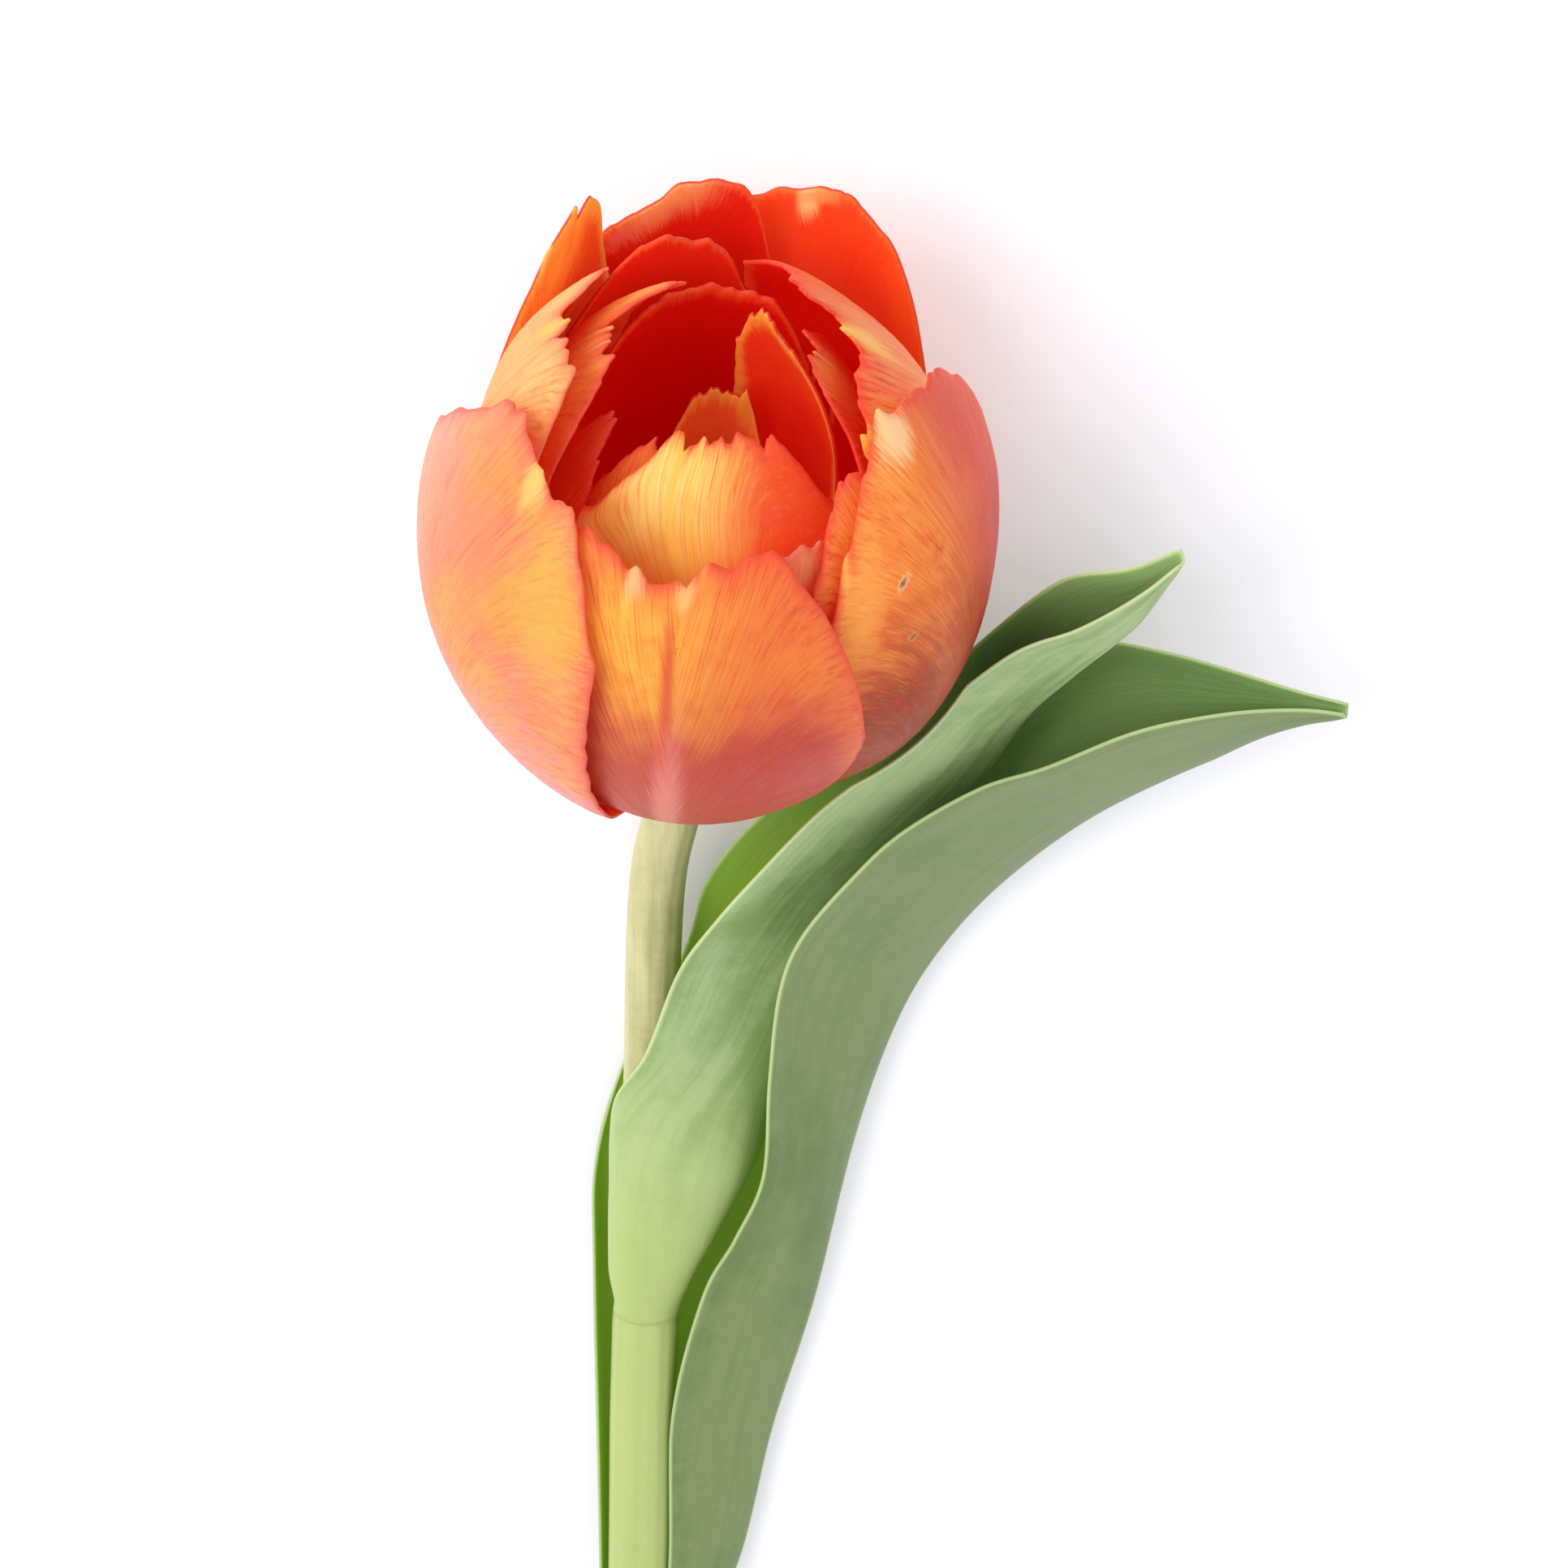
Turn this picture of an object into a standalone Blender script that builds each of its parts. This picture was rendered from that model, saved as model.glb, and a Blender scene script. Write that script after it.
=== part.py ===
"""Parrot tulip: one cut flower lying on a table, head towards +Y, cut end towards -Y.

Every petal is a curved blade on one of a family of nested bowls round the axis of the flower head.
A petal of a deeper layer sits on a smaller bowl and starts higher up the receptacle, so the blades
pass over each other without touching.  The two leaves are folded blades that clasp the stem.
Sizes are in millimetres here and become metres when a mesh is made.
"""
import math
from collections import namedtuple

import bpy
import numpy as np

MM = 0.001

# The flower head: where its base is, how far its axis rises and how far it swings towards +X
HEAD_BASE = (-27.1, 102.2, 15.75)
HEAD_RISE = math.radians(27.0)
HEAD_SWING = math.radians(5.5)

# The bowls that the petals follow
BASE_RADIUS = 6.5        # where a petal leaves the receptacle
BELLY_RADIUS = 35.3      # outermost bowl at its widest
BELLY_HEIGHT = 44.0
BOTTOM_ROUNDING = 0.70   # below 1 makes the bottom of a bowl blunt
LAYER_STEP = 2.1         # how much smaller each deeper bowl is
FOOT_STEP = 1.6          # how much higher each deeper bowl starts

# Blades
PETAL_THICKNESS = 0.8
LEAF_THICKNESS = 0.9
LEAF_TIP_THICKNESS = 0.6
LEAF_TIP_TAPER = 0.45     # how much narrower a leaf's last tenth ends than its lines do
SHEATH_SLACK = 0.10       # how loosely a leaf's foot goes round the stem
GAP = 0.3                # between pieces that touch on the real flower
FRINGE = 0.9             # depth of the cuts along a petal's margin
OUTER_GRID = (12, 12)    # faces across and along an outer petal
INNER_GRID = (10, 10)
LEAF_GRID = (12, 32)

# Stem
STEM_RADIUS_TOP = 3.8
STEM_RADIUS_FOOT = 4.7
NODE_AT = -91.0          # where the upper leaf grows out, seen from the head's base
RECEPTACLE_RADIUS = 5.7
RECEPTACLE_HEIGHT = 19.0
STEM_SIDES = 14
STEM_RINGS = 44

# A petal: azimuth 0 faces up and +90 faces +X; span is its half width in degrees; its bowl closes
# from its belly at the height called shoulder to the radius called mouth at the height called rise;
# crown holds the height of its margin at even steps from its left edge to its right one; shift is
# how many layers deeper its two edges lie; roll moves its tip outwards; ruffle is its margin's wave
Petal = namedtuple("Petal", "name azimuth span layer shoulder mouth rise crown shift roll ruffle seed grid")

PETALS = (
    Petal("petal_outer_left", -65, 45, 0, 44, 22.5, 78,
          (46, 51, 57, 62.5, 67, 70.5, 72, 72, 70, 69, 67.5, 63, 54), (0, 0), -0.4, 0.6, 1, OUTER_GRID),
    Petal("petal_outer_front", -2, 42, 1, 44, 19.0, 78,
          (60, 64.5, 66, 65.5, 62.5, 63.5, 65, 66.5, 67, 66, 61.5, 53, 38), (0, 0), 0.0, 0.3, 2, OUTER_GRID),
    Petal("petal_outer_right", 72.5, 42, 0, 46, 23.0, 82,
          (55, 64.5, 73.5, 78, 79.5, 80, 79.5, 78, 76, 72.5, 67, 58, 48), (2.3, 0), -0.5, 0.4, 3, OUTER_GRID),
    Petal("petal_outer_back_right", 156, 43, 0, 47, 28.0, 84,
          (40, 42, 46, 54, 67, 73.5, 75.5, 74.5, 72.5, 70, 67, 60, 50), (1.3, 0), 0.8, 0.7, 4, OUTER_GRID),
    Petal("petal_outer_back_left", 188, 41, 1, 47, 26.5, 84,
          (36, 38, 42, 52, 71, 75.5, 76, 75, 71.5, 68.5, 64.5, 59, 50), (0, 0), -0.4, 0.6, 5, OUTER_GRID),
    Petal("petal_outer_forked", 229, 30, 2.2, 47, 23.5, 84,
          (44, 52, 61, 71.5, 77.5, 78.5, 71, 60.5, 51.5, 45, 41, 36, 30), (0.2, -0.7), 1.6, 0.3, 6,
          OUTER_GRID),
    Petal("petal_middle_front", 22, 34, 4.4, 44, 15.0, 78, (52, 56.5, 61, 62.5, 63, 60.5, 52),
          (0, 0), 0.5, 0.6, 7, OUTER_GRID),
    Petal("petal_middle_front_right", 58, 29, 2, 47, 17.0, 80, (60, 68.5, 72, 71.5, 70, 68, 60),
          (1.5, 0), 0.0, 0.4, 8, OUTER_GRID),
    Petal("petal_middle_right", 118, 58, 3, 55, 7.0, 82,
          (69, 70.5, 73, 75, 75, 76, 78, 79.5, 78.5, 77, 74.5, 73, 70), (1.0, 0), 0.0, 0.6, 9, OUTER_GRID),
    Petal("petal_middle_back", 195, 42, 4, 46, 17.0, 80,
          (50, 52.5, 56, 62, 70, 73.5, 75, 76, 76, 74, 68, 60, 50), (0, 0), 0.0, 0.3, 10, OUTER_GRID),
    Petal("petal_middle_left", 264, 40, 3, 54, 15.0, 80,
          (72, 75, 76.5, 77.5, 76, 74.5, 74.5, 75, 75.5, 76.5, 76, 72, 66), (0, 0), 0.0, 0.7, 11, OUTER_GRID),
    Petal("petal_inner_left", 257, 45, 5, 53, 7.5, 80,
          (77.5, 77.5, 78.5, 78, 74.5, 71.5, 72.5, 73.5, 74, 74, 72, 68.5, 62), (0, 0), 0.0, 0.7, 12,
          INNER_GRID),
    Petal("petal_inner_back", 191, 44, 6, 48, 15.0, 76, (58, 69, 69.5, 70, 68.5, 64, 50),
          (0, 0), -1.5, 0.5, 13, INNER_GRID),
    Petal("petal_inner_right", 102, 40, 6, 51, 9.0, 76, (62, 71, 74, 74, 73.5, 72, 62),
          (0, 0), 0.0, 0.7, 14, INNER_GRID),
    Petal("petal_inner_front", 4, 54, 5.4, 44, 8.0, 72, (60, 68, 70, 70, 70, 69, 60),
          (0, 0), 0.6, 0.5, 15, INNER_GRID),
    Petal("petal_inner_slip", -72, 25, 6.7, 46, 11.0, 68, (46, 58, 65, 65, 62, 58, 50),
          (0, 0), 0.0, 0.4, 16, INNER_GRID),
    Petal("petal_core_left", -40, 30, 8, 44, 9.0, 68, (54, 61, 65, 65.5, 65, 63, 54),
          (0, 0), 0.0, 0.5, 17, INNER_GRID),
    Petal("petal_core_right", 135, 38, 9.2, 48, 8.0, 74, (44, 60, 70, 74, 74.5, 74, 66),
          (0, 0), 0.0, 0.5, 18, INNER_GRID),
    Petal("petal_core_back", 179, 28, 11, 46, 6.5, 68, (48, 56, 58, 57.5, 57.5, 55.5, 46),
          (0, 0), 0.5, 0.4, 19, INNER_GRID),
)

# Routes below give x and y from the head's base and z above the table.
# The stem's axis runs from below the head to the cut end
STEM_ROUTE = ((-1.5, -8.3, 11.6), (-3.6, -18.0, 9.2), (-4.6, -30.0, 8.1), (-5.2, -48.0, 7.8),
              (-5.9, -68.0, 8.0), (-6.6, -88.0, 7.8), (-7.4, -108.0, 7.1), (-8.0, -130.0, 6.5),
              (-8.7, -153.0, 6.1), (-9.8, -195.0, 5.0), (-11.2, -235.0, 4.75), (-13.2, -285.0, 4.7))

# Each leaf is drawn by lines that run from its foot to its tip, in their order across the blade;
# between the two places of "opens" it changes from a sheath round the stem into an open trough
UPPER_LEAF = {
    "opens": (-62.0, -34.0),
    "lines": (
        # near margin
        ((-11.6, -88.0, 7.5), (-11.0, -68.0, 8.0), (-10.4, -54.0, 10.0), (-5.8, -44.5, 13.4),
         (-1.1, -31.1, 15.5), (4.0, -22.0, 19.0), (10.0, -12.5, 24.0), (17.3, -1.8, 29.5),
         (24.5, 7.0, 35.0), (30.5, 15.0, 39.0), (41.0, 25.5, 43.0), (49.2, 29.7, 45.0),
         (56.5, 34.6, 46.8), (60.2, 37.8, 47.4)),
        # fold
        ((-1.8, -88.5, 5.4), (-0.2, -82.0, 5.2), (3.6, -75.0, 5.2), (9.4, -63.0, 6.4),
         (13.6, -48.0, 7.6), (18.6, -33.0, 8.6), (25.0, -20.3, 10.2), (32.0, -11.0, 13.0),
         (39.0, -2.0, 17.0), (44.6, 9.6, 23.0), (49.8, 17.6, 29.0), (54.4, 24.3, 35.0),
         (58.9, 31.8, 41.4), (61.8, 38.6, 45.6)),
        # far margin
        ((-11.2, -88.0, 4.4), (-10.4, -68.0, 4.4), (-6.2, -50.1, 2.4), (0.0, -31.5, 4.0),
         (2.6, -22.0, 6.0), (8.0, -13.5, 7.5), (17.0, -4.6, 9.0), (27.6, 6.4, 14.0),
         (34.5, 14.7, 21.0), (38.3, 21.8, 28.0), (46.6, 33.1, 38.0), (54.0, 37.6, 43.0),
         (58.8, 40.4, 44.4), (61.2, 41.2, 44.8)),
    ),
}
LOWER_LEAF = {
    "opens": (-150.0, -110.0),
    "lines": (
        # near margin
        ((-6.0, -152.0, 11.2), (-3.8, -131.4, 9.9), (-3.0, -105.0, 11.0), (1.6, -83.7, 12.8),
         (6.3, -73.3, 14.2), (10.3, -62.0, 16.6), (11.2, -46.0, 19.0), (12.6, -31.0, 22.0),
         (15.6, -21.5, 24.5), (22.2, -11.5, 27.5), (28.5, -4.2, 29.5), (38.2, 2.6, 31.0),
         (46.8, 5.7, 31.2), (58.1, 10.5, 31.0), (68.4, 12.3, 30.0), (79.0, 12.0, 28.0),
         (84.6, 11.0, 27.4)),
        # the right side of the trough
        ((-3.4, -152.5, 5.9), (5.6, -136.0, 3.4), (11.2, -111.0, 3.4), (17.2, -89.5, 3.4),
         (22.9, -63.0, 3.4), (28.4, -45.0, 3.6), (34.4, -33.0, 4.2), (43.0, -21.5, 6.2),
         (55.2, -9.2, 11.0), (70.2, 2.0, 18.2), (80.0, 7.0, 23.0), (85.8, 9.4, 25.2)),
        # the bottom of the trough, which lies on the table
        ((-8.6, -153.0, 0.6), (-5.0, -136.0, 0.45), (-1.5, -111.0, 0.45), (3.0, -89.0, 0.45),
         (9.0, -63.0, 0.45), (15.0, -44.0, 0.6), (22.0, -31.0, 1.2), (31.0, -17.0, 3.2),
         (43.0, -3.5, 8.0), (58.0, 8.0, 15.0), (72.0, 11.0, 20.6), (81.5, 11.8, 23.8),
         (86.2, 11.2, 24.4)),
        # its left corner, beyond the stem
        ((-12.8, -152.5, 2.4), (-12.0, -136.0, 1.0), (-12.0, -111.0, 0.8), (-11.8, -89.0, 0.7),
         (-10.6, -66.0, 0.6), (-4.6, -49.0, 0.5), (4.0, -35.0, 0.6), (12.0, -22.0, 1.4),
         (20.0, -12.0, 3.2), (31.0, -2.0, 6.4), (43.0, 8.0, 10.8), (57.0, 13.6, 16.0),
         (70.0, 14.4, 21.2), (80.0, 13.4, 24.0), (86.0, 12.4, 25.0)),
        # far margin
        ((-14.0, -152.0, 6.4), (-14.0, -120.0, 6.0), (-14.0, -82.5, 5.4), (-13.4, -66.0, 3.6),
         (-8.6, -50.0, 1.2), (-1.0, -36.0, 0.9), (7.5, -22.0, 2.2), (16.8, -8.2, 4.6),
         (28.2, 3.8, 7.6), (36.4, 13.4, 11.5), (45.4, 17.2, 14.7), (55.3, 17.9, 17.9),
         (63.9, 17.2, 20.9), (74.1, 15.9, 23.8), (81.3, 14.2, 25.4), (85.0, 13.2, 26.2)),
    ),
}

# Pistil and stamens, measured along the head's axis
PISTIL_RADIUS = 3.0
PISTIL_HEIGHT = 27.0
STAMEN_COUNT = 6
STAMEN_RING = 4.75
FILAMENT_RADIUS = 0.7
FILAMENT_LENGTH = 15.0
ANTHER_LENGTH = 15.0
STAMEN_LEAN = math.radians(4.0)


# Plain helpers

def smoothstep(x):
    x = np.clip(x, 0.0, 1.0)
    return x * x * (3.0 - 2.0 * x)


def spline(points, t):
    """Smooth curve through evenly timed points (or rows of them), read at each t from 0 to 1."""
    points = np.asarray(points, dtype=float)
    t = np.asarray(t, dtype=float)
    spot = np.clip(t, 0.0, 1.0) * (len(points) - 1)
    first = np.minimum(spot.astype(int), len(points) - 2)
    x = (spot - first).reshape(t.shape + (1,) * (points.ndim - 1))
    before = points[np.maximum(first - 1, 0)]
    start = points[first]
    end = points[first + 1]
    after = points[np.minimum(first + 2, len(points) - 1)]
    return 0.5 * ((2 * start) + (end - before) * x
                  + (2 * before - 5 * start + 4 * end - after) * x ** 2
                  + (3 * start - before - 3 * end + after) * x ** 3)


def path(points, count):
    """Evenly spaced points on a smooth curve through the given ones."""
    dense = spline(points, np.linspace(0.0, 1.0, 60 * len(points)))
    run = np.concatenate(([0.0], np.cumsum(np.linalg.norm(np.diff(dense, axis=0), axis=1))))
    even = np.linspace(0.0, run[-1], count)
    return np.stack([np.interp(even, run, dense[:, k]) for k in range(3)], axis=1)


def head_axes():
    """The head's right, its face towards the viewer and its axis."""
    rise, swing = HEAD_RISE, HEAD_SWING
    axis = np.array([math.sin(swing) * math.cos(rise), math.cos(swing) * math.cos(rise), math.sin(rise)])
    side = np.array([math.cos(swing), -math.sin(swing), 0.0])
    return side, np.cross(side, axis), axis


def from_head(points):
    """Turn points of the head's own frame into the part's frame."""
    return np.asarray(HEAD_BASE) + points @ np.stack(head_axes())


def into_head(points):
    return (points - np.asarray(HEAD_BASE)) @ np.stack(head_axes()).T


# Blades

def bowl_radius(height, layer, shoulder, mouth, rise):
    """Radius of the bowl of a layer at a height along the head's axis."""
    foot = layer * FOOT_STEP
    belly = BELLY_RADIUS - layer * LAYER_STEP
    opening = np.clip((height - foot) / (BELLY_HEIGHT - foot), 0, 1)
    lower = BASE_RADIUS + (belly - BASE_RADIUS) * np.sin(np.pi / 2 * opening) ** BOTTOM_ROUNDING
    closing = np.clip((height - shoulder) / (rise - shoulder), 0, 1)
    upper = mouth + (belly - mouth) * np.cos(np.pi / 2 * closing)
    return np.where(height < max(shoulder, BELLY_HEIGHT), np.minimum(lower, upper), upper)


def margin_cuts(petal, u):
    """Uneven small cuts along the top margin, deeper towards the middle."""
    phase = petal.seed * 1.7
    wave = 0.5 * np.sin(9.0 * u + phase) + 0.35 * np.sin(17.0 * u + 2.1 * phase)
    return FRINGE * (wave + 0.3 * np.sin(31.0 * u + 3.3 * phase))


def petal_sheet(petal):
    """Middle surface of a petal as a grid of points in the part's frame."""
    across, along = petal.grid
    u, v = np.meshgrid(np.linspace(-1, 1, across + 1), np.linspace(0, 1, along + 1))
    foot = petal.layer * FOOT_STEP
    crown = spline(petal.crown, (u + 1) / 2) + margin_cuts(petal, u) * smoothstep((v - 0.7) / 0.3)
    height = foot + v ** 1.15 * (crown - foot)
    spread = 0.70 + 0.30 * np.sin(np.pi / 2 * np.clip(v / 0.45, 0, 1))
    azimuth = np.radians(petal.azimuth + u * petal.span * spread)
    edge = np.where(u < 0, petal.shift[0], petal.shift[1]) * smoothstep((np.abs(u) - 0.2) / 0.8)
    radius = bowl_radius(height, petal.layer, petal.shoulder, petal.mouth, petal.rise)
    radius = radius - edge * LAYER_STEP * smoothstep(v / 0.14)
    radius = radius + petal.roll * smoothstep((v - 0.78) / 0.22)
    wave = np.sin(7.0 * u + petal.seed) * smoothstep((v - 0.35) / 0.65) * (0.35 + 0.65 * u * u)
    radius = radius + petal.ruffle * wave
    local = np.stack([radius * np.sin(azimuth), radius * np.cos(azimuth), height], axis=-1)
    sheet = from_head(local)
    sheet[..., 2] = np.maximum(sheet[..., 2], PETAL_THICKNESS / 2)
    return sheet


def polar_section(edges, axis, across, clear):
    """Points across a leaf that go round the stem's axis instead of straight from line to line."""
    from_axis = [edge - axis for edge in edges]
    angles = []
    for spot in from_axis:
        angle = np.arctan2(spot[..., 2], spot[..., 0])
        if angles:
            angle = np.where(angle > angles[-1], angle - 2 * np.pi, angle)
        else:
            angle = np.where(angle < -np.pi / 2, angle + 2 * np.pi, angle)
        angles.append(angle)
    radii = [np.maximum(np.hypot(spot[..., 0], spot[..., 2]), clear) for spot in from_axis]
    angle = spline(np.stack(angles), across)
    radius = np.maximum(1 / spline(1 / np.stack(radii), across), clear)
    reach = spline(np.stack([spot[..., 1] for spot in from_axis]), across)
    return axis + np.stack([radius * np.cos(angle), reach, radius * np.sin(angle)], axis=-1)


def from_table(route):
    """A route with x and y from the head's base and z above the table, in the part's frame."""
    return np.asarray(route) + np.array([HEAD_BASE[0], HEAD_BASE[1], 0.0])


def leaf_sheet(leaf, line, clear):
    """Middle surface of a folded leaf: it goes round the stem at its foot and opens above."""
    across, along = LEAF_GRID
    edges = np.stack([path(from_table(edge), along + 1) for edge in leaf["lines"]])
    share = np.linspace(0, 1, across + 1)
    open_sheet = spline(edges, share)
    reach = edges[..., 1].mean(axis=0)
    axis = np.stack([np.interp(reach, line[:, 1], line[:, k]) for k in range(3)], axis=-1)
    closed_sheet = polar_section(edges, axis, share, np.interp(reach, line[:, 1], clear))
    start, end = leaf["opens"]
    opened = smoothstep((reach - HEAD_BASE[1] - start) / (end - start))[None, :, None]
    sheet = closed_sheet + (open_sheet - closed_sheet) * opened
    narrowing = 1.0 - LEAF_TIP_TAPER * smoothstep((np.linspace(0, 1, along + 1) - 0.9) / 0.1)
    middle = sheet.mean(axis=0)
    sheet = middle + (sheet - middle) * narrowing[:, None]
    return np.swapaxes(sheet, 0, 1)


def push_clear(sheet, line, radius):
    """Move the points of a blade out to a radius round a line of points."""
    flat = sheet.reshape(-1, 3)
    steps = flat[:, None, :] - line[None, :, :]
    near = np.argmin(np.sum(steps ** 2, axis=2), axis=1)
    away = flat - line[near]
    distance = np.linalg.norm(away, axis=1)
    reach = radius[near]
    short = np.maximum(reach - distance, 0.0)
    flat = flat + away / np.maximum(distance, 0.01)[:, None] * short[:, None]
    return flat.reshape(sheet.shape)


def push_off_head(sheet):
    """Move the points of a leaf out of the flower head."""
    local = into_head(sheet)
    radius = np.hypot(local[..., 0], local[..., 1])
    height = np.clip(local[..., 2], 0.0, 78.0)
    wanted = bowl_radius(height, 0, 44.0, 22.5, 78.0) + 2.0
    wanted = np.where(local[..., 2] < -3.0, 0.0, wanted)
    grow = np.maximum(wanted / np.maximum(radius, 0.1), 1.0)
    local[..., 0] *= grow
    local[..., 1] *= grow
    return from_head(local)


def sheet_normals(sheet):
    across = np.gradient(sheet, axis=1)
    along = np.gradient(sheet, axis=0)
    normals = np.cross(across, along)
    return normals / np.maximum(np.linalg.norm(normals, axis=-1, keepdims=True), 1e-9)


def blade(sheet, thickness, end_thickness):
    """Points and faces of a closed blade; both faces are cut into triangles alike."""
    rows, columns = sheet.shape[:2]
    along = np.linspace(0, 1, rows)
    thinning = smoothstep((along - 0.6) / 0.3) + smoothstep((0.08 - along) / 0.08)
    across_blade = thickness + (end_thickness - thickness) * thinning
    offset = sheet_normals(sheet) * across_blade[:, None, None] / 2
    points = np.concatenate([(sheet + offset).reshape(-1, 3), (sheet - offset).reshape(-1, 3)])
    points[:, 2] = np.maximum(points[:, 2], 0.0)
    back = rows * columns
    faces = []
    for row in range(rows - 1):
        for column in range(columns - 1):
            a = row * columns + column
            b, c, d = a + 1, a + columns + 1, a + columns
            faces += [(a, b, c), (a, c, d)]
            faces += [(back + c, back + b, back + a), (back + d, back + c, back + a)]
    ring = [column for column in range(columns)]
    ring += [row * columns + columns - 1 for row in range(1, rows)]
    ring += [(rows - 1) * columns + column for column in range(columns - 2, -1, -1)]
    ring += [row * columns for row in range(rows - 2, 0, -1)]
    for start, end in zip(ring, ring[1:] + ring[:1]):
        faces += [(end, start, back + start), (end, back + start, back + end)]
    return points, faces


# Round pieces

def tube(line, radii, sides):
    """Points and faces of a closed round bar along a line of points."""
    line = np.asarray(line, dtype=float)
    run = np.gradient(line, axis=0)
    run /= np.linalg.norm(run, axis=1, keepdims=True)
    side = np.cross(run, np.array([0.0, 0.0, 1.0]))
    side[np.linalg.norm(side, axis=1) < 0.05] = (1.0, 0.0, 0.0)
    side /= np.linalg.norm(side, axis=1, keepdims=True)
    up = np.cross(side, run)
    turn = np.linspace(0, 2 * np.pi, sides, endpoint=False)
    rings = (line[:, None] + np.asarray(radii)[:, None, None]
             * (np.cos(turn)[None, :, None] * side[:, None] + np.sin(turn)[None, :, None] * up[:, None]))
    points = np.concatenate([rings.reshape(-1, 3), line[:1], line[-1:]])
    first, last = len(points) - 2, len(points) - 1
    faces = []
    for ring in range(len(line) - 1):
        for k in range(sides):
            a = ring * sides + k
            b = ring * sides + (k + 1) % sides
            faces += [(a, a + sides, b + sides), (a, b + sides, b)]
    end = (len(line) - 1) * sides
    for k in range(sides):
        nxt = (k + 1) % sides
        faces += [(first, k, nxt), (last, end + nxt, end + k)]
    return points, faces


def stem_line():
    """The stem's axis from its cut end up through the receptacle."""
    axis = head_axes()[2]
    route = list(from_table(STEM_ROUTE[::-1]))
    route += [np.asarray(HEAD_BASE) + axis * height for height in (0.0, 6.0, 13.0, RECEPTACLE_HEIGHT)]
    return path(route, STEM_RINGS)


def stem_radii(line):
    """The stem is stouter below the leaves and swells into the receptacle under the petals."""
    reach = line[:, 1] - HEAD_BASE[1]
    stout = smoothstep((NODE_AT + 6.0 - reach) / 14.0)
    radii = STEM_RADIUS_TOP + (STEM_RADIUS_FOOT - STEM_RADIUS_TOP) * stout
    height = into_head(line)[:, 2]
    return radii + (RECEPTACLE_RADIUS - radii) * smoothstep((height + 7.0) / 8.0)


# Pieces as Blender objects

def make_material(name, colour, roughness):
    material = bpy.data.materials.new(name)
    material.use_nodes = True
    shader = material.node_tree.nodes["Principled BSDF"]
    shader.inputs["Base Color"].default_value = (*colour, 1.0)
    shader.inputs["Roughness"].default_value = roughness
    shader.inputs["Metallic"].default_value = 0.0
    return material


def make_object(name, points, faces, colour, roughness):
    mesh = bpy.data.meshes.new(name)
    mesh.from_pydata((np.asarray(points) * MM).tolist(), [], faces)
    mesh.update()
    mesh.shade_smooth()
    piece = bpy.data.objects.new(name, mesh)
    piece.data.materials.append(make_material(name, colour, roughness))
    bpy.context.scene.collection.objects.link(piece)
    return piece


def make_petals():
    for petal in PETALS:
        depth = min(petal.layer / 10.0, 1.0)
        colour = (0.85, 0.30 - 0.22 * depth, 0.09 - 0.06 * depth)
        points, faces = blade(petal_sheet(petal), PETAL_THICKNESS, PETAL_THICKNESS)
        make_object(petal.name, points, faces, colour, 0.5)


def make_stem():
    line = stem_line()
    points, faces = tube(line, stem_radii(line), STEM_SIDES)
    points[:, 2] = np.maximum(points[:, 2], 0.0)
    make_object("stem", points, faces, (0.50, 0.55, 0.24), 0.5)


def make_leaf(name, leaf, floor):
    """A leaf kept clear of the stem and the head, and no lower than its floor."""
    line = path(stem_line(), 600)
    clear = stem_radii(line) + GAP + LEAF_THICKNESS / 2 + SHEATH_SLACK
    sheet = push_clear(leaf_sheet(leaf, line, clear), line, clear)
    sheet = push_off_head(sheet)
    sheet[..., 2] = np.maximum(sheet[..., 2], floor)
    points, faces = blade(sheet, LEAF_THICKNESS, LEAF_TIP_THICKNESS)
    make_object(name, points, faces, (0.32, 0.44, 0.24), 0.55)


def make_leaves():
    lower_floor = LEAF_THICKNESS / 2
    make_leaf("leaf_lower", LOWER_LEAF, lower_floor)
    make_leaf("leaf_upper", UPPER_LEAF, lower_floor + LEAF_THICKNESS + 2 * GAP)


def make_pistil():
    """A green three-sided ovary with a small yellow lobed stigma on top."""
    base = RECEPTACLE_HEIGHT + GAP
    heights = np.array([0.0, 3.0, 8.0, 14.0, 19.0, 22.0, 24.0, 26.0, PISTIL_HEIGHT])
    radii = PISTIL_RADIUS * np.array([0.85, 1.0, 1.05, 0.98, 0.85, 0.9, 1.25, 1.15, 0.5])
    line = np.stack([np.zeros(9), np.zeros(9), base + heights], axis=1)
    points, faces = tube(from_head(line), radii, 12)
    local = into_head(points)
    turn = np.arctan2(local[:, 1], local[:, 0])
    swell = 1.0 + 0.12 * np.cos(3 * turn) * smoothstep((local[:, 2] - base) / 20.0)
    local[:, :2] *= swell[:, None]
    make_object("pistil", from_head(local), faces, (0.45, 0.55, 0.20), 0.5)


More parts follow.
